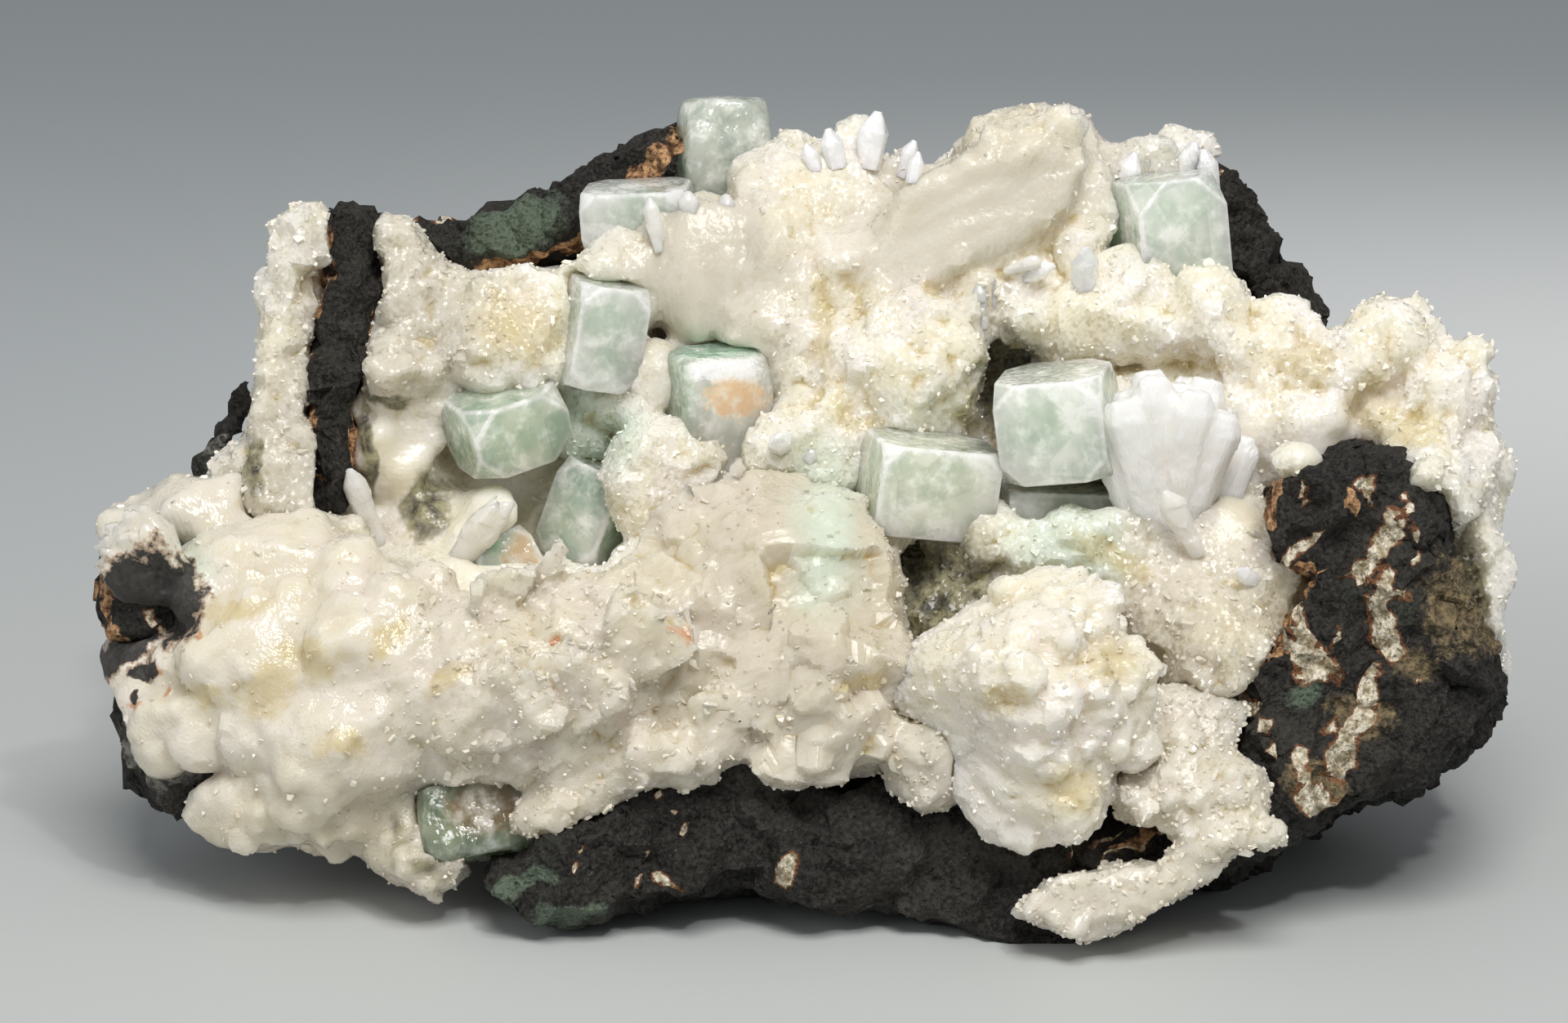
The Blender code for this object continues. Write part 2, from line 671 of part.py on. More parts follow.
# The clear crystals: name, place, width, height and depth, turn, and how much of the corners is cut
CRYSTALS = [
    ("heart_crystal", (-8.3, 52, 1), (10, 14, 10), (15, 24, 0), 1.6),
    ("left_crystal", (-31.8, 50.8, 0.5), (11.4, 8, 10), (24, 24, 10), 2),
    ("lower_left_crystal", (-22.3, 40.8, -3.5), (7.6, 10.8, 8), (8, -20, -20), 1.4),
    ("stained_crystal", (-32, 34, 0.5), (7, 8, 8), (0, 24, 28), 1.2),
    ("middle_crystal", (15.5, 44, 10), (13.5, 10, 11), (12, 14, -8), 1.4),
    ("large_crystal", (30.2, 51, 12), (12, 11.4, 11), (14, -16, 8), 1.8),
    ("ledge_crystal", (30, 41, 6.5), (12.4, 5.4, 9.6), (10, 8, -3), 0.8),
    ("top_right_crystal", (42.5, 71, -2), (10.5, 15, 10), (10, 18, 6), 2.4),
    ("upper_left_crystal", (-21, 61, 1), (7.8, 11.6, 8.6), (12, 18, -10), 1.4),
    ("top_left_crystal", (-17, 74.2, -4.5), (11.5, 6.5, 8.6), (16, -8, 4), 1.2),
    ("top_crystal", (-7.4, 81, -12.2), (9.6, 12.4, 8.6), (6, 14, 0), 2.6),
    ("under_crystal", (-33, 6.5, 14), (17, 8, 9), (-10, 10, 8), 1.2),
]
# How far along each edge a corner's cut runs, for its depth
CORNER_RUN = 1.4
# Those of them that sit in pockets of the rock
ROCK_CRYSTALS = ("top_crystal", "top_left_crystal", "under_crystal")


def make_crystal(collection, name, at, size, turn, corner):
    """A square prism with its corners cut: corner is the depth of the cut."""
    mesh = bmesh.new()
    bmesh.ops.create_cube(mesh, size=1, matrix=Matrix.Diagonal((*size, 1)))
    along_edge = corner * CORNER_RUN
    bmesh.ops.bevel(
        mesh, geom=mesh.verts[:], offset=along_edge, segments=1, affect="VERTICES", profile=0.5
    )
    bmesh.ops.transform(mesh, matrix=placed(at, turn), verts=mesh.verts)
    return new_object(name, mesh, APOPHYLLITE, collection)


def main():
    clear_scene()
    specimen = bpy.data.collections.new("apophyllite_cluster")
    helpers = bpy.data.collections.new("cutters")
    bpy.context.scene.collection.children.link(specimen)
    bpy.context.scene.collection.children.link(helpers)
    rock = make_basalt(specimen, helpers)
    crystals = {crystal[0]: make_crystal(specimen, *crystal) for crystal in CRYSTALS}
    front = make_front(specimen)
    wedge = make_wedge(specimen)
    ledge = make_ledge(specimen)
    fan = make_bow_tie(specimen)
    crust = make_crust(specimen, helpers)
    cut_by(rock, [crystals[name] for name in ROCK_CRYSTALS], helpers)
    cut_by(front, [rock, crystals["middle_crystal"], crystals["under_crystal"]], helpers)
    cut_by(wedge, [rock, front], helpers)
    cut_by(ledge, [rock, wedge], helpers)
    cut_by(fan, [crystals["large_crystal"], crystals["ledge_crystal"]], helpers)
    cut_by(crust, [front, wedge, ledge, fan, *crystals.values()], helpers)
    centre(specimen.objects)


if __name__ == "__main__":
    main()
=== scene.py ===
# %% [markdown]
# # Pale green apophyllite on white stilbite, in a hollow of dark basalt
#
# This notebook dresses the plain solids of a natural specimen. The solids give the place and the
# main form of each piece. Here each one gets a fine skin, the small crystals that make it
# sparkle, and a finish built from nodes. Nothing is read from disk but the solids.

# %% Load the solids
import json
import math
import random

import bmesh
import bpy
import numpy as np
from mathutils import Euler, Matrix, Vector, bvhtree, kdtree, noise

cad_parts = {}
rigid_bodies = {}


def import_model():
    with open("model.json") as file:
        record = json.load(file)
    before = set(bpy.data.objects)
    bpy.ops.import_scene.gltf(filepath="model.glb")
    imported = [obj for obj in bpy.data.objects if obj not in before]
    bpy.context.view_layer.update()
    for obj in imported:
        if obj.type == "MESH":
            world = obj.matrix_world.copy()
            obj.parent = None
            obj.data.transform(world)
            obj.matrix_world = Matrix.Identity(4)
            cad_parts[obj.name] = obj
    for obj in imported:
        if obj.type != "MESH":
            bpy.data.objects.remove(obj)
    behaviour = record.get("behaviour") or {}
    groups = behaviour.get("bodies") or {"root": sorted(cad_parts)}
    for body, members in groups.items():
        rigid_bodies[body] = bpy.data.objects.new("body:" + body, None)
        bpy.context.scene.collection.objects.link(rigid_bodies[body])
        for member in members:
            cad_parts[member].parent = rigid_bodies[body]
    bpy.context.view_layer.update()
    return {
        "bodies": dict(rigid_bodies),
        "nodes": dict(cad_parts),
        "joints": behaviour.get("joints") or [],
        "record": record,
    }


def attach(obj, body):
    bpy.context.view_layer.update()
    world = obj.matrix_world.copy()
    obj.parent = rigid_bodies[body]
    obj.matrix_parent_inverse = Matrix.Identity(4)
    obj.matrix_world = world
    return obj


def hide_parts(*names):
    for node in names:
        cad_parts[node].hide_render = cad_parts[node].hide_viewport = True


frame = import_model()
nodes = frame["nodes"]

# %% [markdown]
# ## Places on the specimen
#
# The open side of the specimen leans back by 15 degrees, and every feature is named by its place
# on that side: millimetres to the right, up, and out towards the viewer. The solids were laid out
# in this way too, along the lines of sight from half a metre away, so one pair of functions turns
# a place into a point in space and a point back into a place.

# %% Places
MM = 0.001
FACE_LEAN = math.radians(15)
SIGHT_DISTANCE = 500.0
# The place that the middle of the picture shows
SIGHT_RIGHT = -0.6
SIGHT_UP = 41.0
# What is taken off, so that the middle of the solids stands at the origin
MIDDLE = Vector((1.5866, 13.8928, 0))
SINE = math.sin(FACE_LEAN)
COSINE = math.cos(FACE_LEAN)
FACE_AXES = Matrix(((1, 0, 0), (0, SINE, -COSINE), (0, COSINE, SINE)))


def turned(turn):
    """A rotation in degrees: first about up, then about right, then about out."""
    return Euler([math.radians(angle) for angle in turn], "YXZ").to_matrix()


def joined(first, second):
    """One turn that does what the second does, and then the first."""
    whole = turned(first) @ turned(second)
    return [math.degrees(angle) for angle in whole.to_euler("YXZ")]


def placed(at, turn=(0, 0, 0)):
    """The matrix of a place. What is nearer the viewer is made smaller, to cover the same view."""
    right, up, out = at
    near = 1 - out / SIGHT_DISTANCE
    right = SIGHT_RIGHT + (right - SIGHT_RIGHT) * near
    up = SIGHT_UP + (up - SIGHT_UP) * near
    where = FACE_AXES @ Vector((right, up, out)) - MIDDLE
    spin = (FACE_AXES @ turned(turn)).to_quaternion()
    return Matrix.LocRotScale(where * MM, spin, Vector((MM * near,) * 3))


def on_side(points):
    """The places, as three columns right, up and out, of an array of points in metres."""
    moved = points / MM + np.array(MIDDLE)
    out = -COSINE * moved[:, 1] + SINE * moved[:, 2]
    near = 1 - out / SIGHT_DISTANCE
    right = SIGHT_RIGHT + (moved[:, 0] - SIGHT_RIGHT) / near
    up = SIGHT_UP + (SINE * moved[:, 1] + COSINE * moved[:, 2] - SIGHT_UP) / near
    return np.stack((right, up, out), axis=1)


# %% [markdown]
# ## Camera
#
# The camera stands where the photographer's is taken to have stood: half a metre in front of the
# open side and square to it, which is 15 degrees above the horizon. It comes first, so that every
# later cell can be looked at as it is finished.

# %% Camera
# Millimetres across: the sensor, and what the picture shows at the open side
SENSOR = 36.0
VIEW_WIDTH = 175.76


def linked(name, data):
    """A new object for this data, in the scene."""
    made = bpy.data.objects.new(name, data)
    bpy.context.scene.collection.objects.link(made)
    return made


def make_camera():
    lens = bpy.data.cameras.new("photo_camera")
    lens.sensor_width = SENSOR
    lens.lens = SENSOR * SIGHT_DISTANCE / VIEW_WIDTH
    lens.clip_start = 0.01
    lens.clip_end = 20
    camera = linked("photo_camera", lens)
    target = FACE_AXES @ Vector((SIGHT_RIGHT, SIGHT_UP, 0)) - MIDDLE
    stand = target + FACE_AXES @ Vector((0, 0, SIGHT_DISTANCE))
    camera.matrix_world = Matrix.LocRotScale(stand * MM, FACE_AXES.to_quaternion(), None)
    bpy.context.scene.camera = camera
    return camera


camera = make_camera()
EYE = camera.matrix_world.translation.copy()
print("camera at", tuple(round(c, 4) for c in EYE), "lens", round(camera.data.lens, 1))

# %% [markdown]
# ## From a coarse solid to a fine skin
#
# A broken or grown surface has no edges that a modeller would draw by hand. The way used here is
# the one for rocks: copy the solid, add the forms that are too small for it, melt all of it into
# one skin of small squares with a voxel Remesh, and smooth away the flat facets of the solid. From
# then on the skin is a field of points that arrays can move and paint quickly.

# %% Fine skins
SMOOTHING = 0.5
# How far apart the noises of two seeds are read, how much weaker each finer layer of a noise is,
# and how much finer
SEED_STEP = (3.7, 1.9, 2.3)
LAYER_WEAKER = 0.9
LAYER_FINER = 2.1


def new_piece(name, mesh):
    """A piece from a bmesh, which is used up."""
    data = bpy.data.meshes.new(name)
    mesh.to_mesh(data)
    mesh.free()
    return linked(name, data)


def from_points(name, points, faces):
    """A piece from an array of points, and the numbers of the points of each face."""
    data = bpy.data.meshes.new(name)
    data.from_pydata(points.tolist(), [], faces)
    return linked(name, data)


def apply_modifiers(piece):
    graph = bpy.context.evaluated_depsgraph_get()
    made = bpy.data.meshes.new_from_object(piece.evaluated_get(graph))
    piece.modifiers.clear()
    old, piece.data = piece.data, made
    bpy.data.meshes.remove(old)
    made.name = piece.name


def melted(piece, square, rounds):
    """Melts the piece into one skin of squares of this size, smoothed this many times."""
    melt = piece.modifiers.new("melt", "REMESH")
    melt.mode = "VOXEL"
    melt.voxel_size = square * MM
    ease = piece.modifiers.new("ease", "SMOOTH")
    ease.factor = SMOOTHING
    ease.iterations = rounds
    apply_modifiers(piece)


def fine_skin(name, node, square, rounds, forms=None):
    """A copy of a solid as one fine skin. Its flat facets are smoothed away first, and the forms
    in the heap join it after that, so that they stay sharp."""
    mesh = bmesh.new()
    mesh.from_mesh(nodes[node].data)
    piece = new_piece(name, mesh)
    melted(piece, square, rounds)
    if forms:
        forms.join(piece)
        melted(piece, square, 1)
    print(name, len(piece.data.polygons), "squares")
    return piece


def points_of(piece):
    count = len(piece.data.vertices)
    points = np.empty(count * 3, np.float32)
    piece.data.vertices.foreach_get("co", points)
    return points.reshape(-1, 3).astype(float)


def normals_of(piece):
    count = len(piece.data.vertices)
    normals = np.empty(count * 3, np.float32)
    piece.data.vertex_normals.foreach_get("vector", normals)
    return normals.reshape(-1, 3).astype(float)


def put_points(piece, points):
    piece.data.vertices.foreach_set("co", points.astype(np.float32).ravel())
    piece.data.update()


def paint(piece, name, values):
    """Stores a number for each point, or one for all of them, for the finish to read."""
    layer = piece.data.attributes.new(name, "FLOAT", "POINT")
    layer.data.foreach_set("value", np.full(len(piece.data.vertices), values, np.float32))


def painted_on(piece, name):
    """The numbers that paint stored, or zeros."""
    count = len(piece.data.vertices)
    values = np.zeros(count, np.float32)
    if name in piece.data.attributes:
        piece.data.attributes[name].data.foreach_get("value", values)
    return values


def grain(points, size, seed, octaves=3):
    """Noise from about -1 to 1 at each point, with lumps of this many millimetres."""
    shift = Vector([seed * step for step in SEED_STEP])
    scaled = [Vector(place) + shift for place in (points / (size * MM)).tolist()]
    return np.array([noise.fractal(p, LAYER_WEAKER, LAYER_FINER, octaves) for p in scaled])


def swell(piece, amount):
    """Moves the skin out along its normals, by one or by many amounts in millimetres."""
    amount = np.broadcast_to(np.asarray(amount, float), (len(piece.data.vertices),))
    put_points(piece, points_of(piece) + normals_of(piece) * (amount[:, None] * MM))


# %% [markdown]
# ## Forms that the solids are too coarse for
#
# The solids stop at what shows from a step away. Knobs, rosettes and blades a few millimetres
# across are added here, each on the line of sight of its place, at the depth where a ray from the
# camera meets the solid. So they sit on what carries them from any side.

# %% Forms


def tree_of(node):
    data = nodes[node].data
    corners = [vertex.co.copy() for vertex in data.vertices]
    return bvhtree.BVHTree.FromPolygons(corners, [tuple(face.vertices) for face in data.polygons])


trees = {node: tree_of(node) for node in nodes}


def out_at(node, right, up, otherwise=0.0):
    """How far out the solid's skin is at this place."""
    way = placed((right, up, 0)).translation - EYE
    hit = trees[node].ray_cast(EYE, way.normalized())[0]
    if hit is None:
        return otherwise
    return float(on_side(np.array([hit]))[0, 2])


def ball():
    """The points and faces of a round ball of radius 1."""
    mesh = bmesh.new()
    bmesh.ops.create_icosphere(mesh, subdivisions=2, radius=1)
    points = np.array([vertex.co[:] for vertex in mesh.verts])
    faces = [tuple(vertex.index for vertex in face.verts) for face in mesh.faces]
    mesh.free()
    return points, faces


BALL_POINTS, BALL_FACES = ball()
SIX = [(math.cos(math.radians(60 * i)), math.sin(math.radians(60 * i))) for i in range(6)]
SPIRE_FACES = [tuple(range(5, -1, -1)), tuple(range(12, 18))]
SPIRE_FACES += [
    (low + i, low + (i + 1) % 6, low + 6 + (i + 1) % 6, low + 6 + i)
    for low in (0, 6)
    for i in range(6)
]
# A knob's rings of blades: how many for each millimetre of its radius, their slope in degrees,
# and their reach. Its body is wide and deep by these shares of its radius and depth.
RINGS = ((4.2, 86, 1.02), (3.0, 70, 0.96))
BODY_WIDTH = 1.86
BODY_DEPTH = 1.15


class Heap:
    """Lumps, blades and what is made of them, gathered to be joined to a skin."""

    def __init__(self, seed=0):
        self.points = []
        self.faces = []
        self.count = 0
        self.chance = random.Random(seed)

    def add(self, points, faces, frame):
        matrix = np.array(frame)
        self.points.append(points @ matrix[:3, :3].T + matrix[:3, 3])
        self.faces += [tuple(corner + self.count for corner in face) for face in faces]
        self.count += len(points)

    def lump(self, at, size, turn=(0, 0, 0)):
        """An ellipsoid of the given width, height and depth."""
        self.add(BALL_POINTS * (np.array(size) / 2), BALL_FACES, placed(at, turn))

    def blade(self, at, size, turn=(0, 0, 0), foot=0.6, tip=0.3, tip_share=0.2):
        """A flat six-sided crystal that stands on its foot and ends in a blunt point."""
        width, length, depth = size
        rings = ((foot, 0), (1, length * (1 - tip_share)), (tip, length))
        points = [(x * r * width / 2, up, y * r * depth / 2) for r, up in rings for x, y in SIX]
        self.add(np.array(points), SPIRE_FACES, placed(at, turn))

    def sheaf(self, at, length, turn, spread, rows, blade, **shape):
        """Blades that share a foot. Spread is in degrees across and in depth, and rows is how
        many blades there are each way."""
        across, deep = rows
        jitter = self.chance.uniform
        for i in range(across):
            for j in range(deep):
                side = 2 * i / max(across - 1, 1) - 1
                back = 2 * j / max(deep - 1, 1) - 1
                lean = back * spread[1] + jitter(-2, 2)
                fan = (lean, jitter(-8, 8), -side * spread[0] + jitter(-2, 2))
                reach = length * (1 - 0.06 * (side**2 + back**2) + jitter(-0.05, 0.05))
                self.blade(at, (blade[0], reach, blade[1]), joined(turn, fan), **shape)

    def rosette(self, at, radius, depth, turn):
        """A knob of blades that spread from one middle towards the viewer and to all sides."""
        jitter = self.chance.uniform
        self.lump(at, (BODY_WIDTH * radius, BODY_WIDTH * radius, depth * BODY_DEPTH), turn)
        for share, slope, reach in RINGS:
            count = int(radius * share)
            for i in range(count):
                around = 360 * i / count + jitter(-6, 6)
                spread = joined((0, 0, around), (90 - slope + jitter(-7, 7), 0, 0))
                width = radius * jitter(0.24, 0.36)
                size = (width, radius * reach * jitter(0.9, 1.07), width * 0.6)
                self.blade(at, size, joined(turn, spread))

    def knobs(self, node, rows):
        """Small lumps strewn over a solid's front. A row is how many, the box that they fill
        (left, right, low, high), from what size to what, and how deep they are sunk."""
        jitter = self.chance.uniform
        for count, box, sizes, sink in rows:
            for _ in range(count):
                right, up, size = jitter(*box[:2]), jitter(*box[2:]), jitter(*sizes)
                out = out_at(node, right, up, None)
                if out is not None:
                    turn = (jitter(0, 90), jitter(0, 90), jitter(0, 180))
                    shape = (size, size * jitter(0.7, 1), size * jitter(0.7, 1))
                    self.lump((right, up, out - sink * size / 2), shape, turn)

    def join(self, piece):
        """Adds all of it to a piece's mesh."""
        data = piece.data
        own = points_of(piece)
        corners = np.empty(len(data.loops), np.int32)
        data.loops.foreach_get("vertex_index", corners)
        starts = np.empty(len(data.polygons), np.int32)
        data.polygons.foreach_get("loop_start", starts)
        faces = [tuple(face) for face in np.split(corners, starts[1:].tolist())]
        faces += [tuple(corner + len(own) for corner in face) for face in self.faces]
        points = np.concatenate([own] + self.points)
        made = bpy.data.meshes.new(piece.name)
        made.from_pydata(points.tolist(), [], faces)
        piece.data = made
        bpy.data.meshes.remove(data)

    def alone(self, name):
        """A piece of its own from all of it."""
        return from_points(name, np.concatenate(self.points), self.faces)


# %% [markdown]
# ## Facets
#
# Small crystals end in flat faces. To give a skin such faces, seeds are strewn over it, each with
# a plane that is tilted a little from the skin. Each point then moves onto the plane of its
# nearest seed. Neighbouring planes meet in sharp steps, as crystals do that grew side by side.

# %% Facets
# Millimetres that a face may lie above or below the skin, and degrees that leave a sharp edge
FACET_LIFT = 0.15
SHARP = 30


def facet(piece, size, tilt, seed, share, limit):
    """Breaks the skin into flat faces of about this size. Share is how much of it, for each
    point, tilt is in degrees, and limit is how far a point may move, in millimetres."""
    chance = np.random.default_rng(seed)
    points = points_of(piece)
    normals = normals_of(piece)
    area = sum(face.area for face in piece.data.polygons)
    wanted = min(len(points), int(area / (size * MM) ** 2))
    chosen = chance.choice(len(points), wanted, replace=False)
    tree = kdtree.KDTree(wanted)
    for index, vertex in enumerate(chosen):
        tree.insert(points[vertex], index)
    tree.balance()
    nearest = np.array([tree.find(point)[1] for point in points.tolist()])
    lean = chance.normal(0, math.tan(math.radians(tilt)), (wanted, 3))
    planes = normals[chosen] + lean
    planes /= np.linalg.norm(planes, axis=1)[:, None]
    rise = chance.uniform(-FACET_LIFT, FACET_LIFT, wanted) * MM
    away = points - points[chosen][nearest]
    height = np.einsum("ij,ij->i", away, planes[nearest]) - rise[nearest]
    height = np.clip(height, -limit * MM, limit * MM) * share
    put_points(piece, points - planes[nearest] * height[:, None])


def crisp(piece, angle):
    """Smooth shading, but with sharp edges where faces meet at more than this many degrees."""
    piece.data.shade_smooth()
    piece.data.set_sharp_from_angle(angle=math.radians(angle))


# %% [markdown]
# ## Strewn crystals
#
# A druse glitters because it is covered with loose-standing small crystals. One small blade is
# drawn once, as a few points and faces. Copies of it, each with its own size and lean, stand half
# sunk in the skin, and all of them are one mesh.

# %% Strewn crystals
# The masks that small crystals take over from the skin that carries them, painted shade and painted
# shadow among them
MASKS = ("hollow", "stain", "rust", "dirt_and_shadow", "cool", "mint", "rock", "painted_shade")
BLADE_POINTS = np.array(
    [(x, y, z) for z in (0, 0.72) for x, y in ((-0.5, -0.5), (0.5, -0.5), (0.5, 0.5), (-0.5, 0.5))]
    + [(-0.27, 0, 1), (0.27, 0, 1)]
)
BLADE_FACES = [
    (3, 2, 1, 0), (0, 1, 5, 4), (1, 2, 6, 5), (2, 3, 7, 6), (3, 0, 4, 7),
    (4, 5, 9, 8), (6, 7, 8, 9), (5, 6, 9), (7, 4, 8),
]
# How far they lean in degrees, and their width, depth and sunk foot as shares of their length
BLADE_LEAN = 32
BLADE_WIDTH = 0.55
BLADE_DEPTH = 0.35
BLADE_SUNK = 0.6
# How much their lengths differ, and how far a skin may turn away from the viewer to carry them
LENGTH_SPREAD = 0.35
FACING = -0.2


def strew(name, carrier, count, share, size, seed):
    """Blades of about this length in millimetres on a skin. Share is how densely they stand at
    each point."""
    chance = np.random.default_rng(seed)
    points = points_of(carrier)
    normals = normals_of(carrier)
    to_eye = np.array(EYE) - points
    to_eye /= np.linalg.norm(to_eye, axis=1)[:, None]
    facing = np.einsum("ij,ij->i", normals, to_eye) > FACING
    weight = np.clip(share, 0, None) * facing + 1e-9
    chosen = chance.choice(len(points), count, replace=False, p=weight / weight.sum())
    axis = normals[chosen] + chance.normal(0, math.tan(math.radians(BLADE_LEAN)), (count, 3))
    axis /= np.linalg.norm(axis, axis=1)[:, None]
    side = np.cross(axis, chance.normal(0, 1, (count, 3)))
    side /= np.linalg.norm(side, axis=1)[:, None]
    deep = np.cross(axis, side)
    length = size * MM * np.exp(chance.normal(0, LENGTH_SPREAD, count))
    width = length * BLADE_WIDTH * chance.uniform(0.7, 1.3, count)
    depth = length * BLADE_DEPTH * chance.uniform(0.7, 1.3, count)
    root = points[chosen] - axis * (BLADE_SUNK * length)[:, None]
    corners = (
        root[:, None, :]
        + side[:, None, :] * (BLADE_POINTS[None, :, :1] * width[:, None, None])
        + deep[:, None, :] * (BLADE_POINTS[None, :, 1:2] * depth[:, None, None])
        + axis[:, None, :] * (BLADE_POINTS[None, :, 2:] * length[:, None, None])
    ).reshape(-1, 3)
    steps = range(0, len(corners), len(BLADE_POINTS))
    faces = [tuple(corner + step for corner in face) for step in steps for face in BLADE_FACES]
    piece = from_points(name, corners, faces)
    for mask in MASKS:
        paint(piece, mask, np.repeat(painted_on(carrier, mask)[chosen], len(BLADE_POINTS)))
    paint(piece, "gloss", 1.0)
    print(name, count, "crystals")
    return piece


# %% [markdown]
# ## Masks
#
# Stains, veins and inclusions have their own places. A mask is one number for each point: 1
# inside a feature and 0 away from it, with a soft edge that the finish later breaks up with
# noise. Features on the open side count only where the skin faces it.

# %% Masks


def warped(points, amount, size, seed):
    """The places of the points, each read a little beside itself, so that what is drawn with
    straight lines and round spots comes out as crooked as nature draws it."""
    places = on_side(points)
    places[:, 0] += amount * grain(points, size, seed)
    places[:, 1] += amount * grain(points, size, seed + 1)
    return places


def spots(places, marks, deepest=-12.0):
    """1 in the middle of each mark, 0.5 on its edge, 0 well outside and where the skin is deeper
    than this. A mark is its place, its half sizes and, if it is tilted, its turn."""
    best = np.zeros(len(places))
    for right, up, half_width, half_height, *turn in marks:
        angle = math.radians(turn[0] if turn else 0)
        across = places[:, 0] - right
        along = places[:, 1] - up
        x = (across * math.cos(angle) + along * math.sin(angle)) / half_width
        y = (along * math.cos(angle) - across * math.sin(angle)) / half_height
        best = np.maximum(best, 1 - 0.5 * np.hypot(x, y))
    return np.where(places[:, 2] > deepest, np.clip(best, 0, 1), 0)


def strokes(places, lines, deepest):
    """1 along each line, 0.5 at its half width, 0 at twice that. A line is its half width and
    its points."""
    best = np.zeros(len(places))
    spot = places[:, :2]
    for half, line in lines:
        for start, end in zip(line, line[1:]):
            start = np.array(start, float)
            step = np.array(end, float) - start
            share = np.clip(((spot - start) @ step) / (step @ step), 0, 1)
            away = np.linalg.norm(spot - start - share[:, None] * step, axis=1)
            best = np.maximum(best, 1 - 0.5 * away / half)
    return np.where(places[:, 2] > deepest, np.clip(best, 0, 1), 0)


# %% [markdown]
# ## Shader maths
#
# Shader graphs are easier to read as sums than as boxes. A Wire is one output of a node, and
# adding or multiplying wires adds the Math nodes that do it. A Finish makes one material: its
# node method takes the type of a node, its settings and what goes into its sockets.

# %% Shader maths


class Wire:
    def __init__(self, finish, socket):
        self.finish = finish
        self.socket = socket

    def math(self, operation, first, second=0.0):
        return self.finish.node("Math", {"operation": operation}, {0: first, 1: second})

    def __add__(self, other):
        return self.math("ADD", self, other)

    def __sub__(self, other):
        return self.math("SUBTRACT", self, other)

    def __rsub__(self, other):
        return self.math("SUBTRACT", other, self)

    def __mul__(self, other):
        return self.math("MULTIPLY", self, other)

    def __truediv__(self, other):
        return self.math("DIVIDE", self, other)

    def __pow__(self, other):
        return self.math("POWER", self, other)

    __radd__ = __add__
    __rmul__ = __mul__

    def clamped(self):
        return self.finish.node("Clamp", {}, {0: self})

    def step(self, start, end):
        """0 up to start, 1 from end, and smooth between. With start above end it falls."""
        settings = {"interpolation_type": "SMOOTHSTEP"}
        return self.finish.node("MapRange", settings, {0: self, 1: start, 2: end})


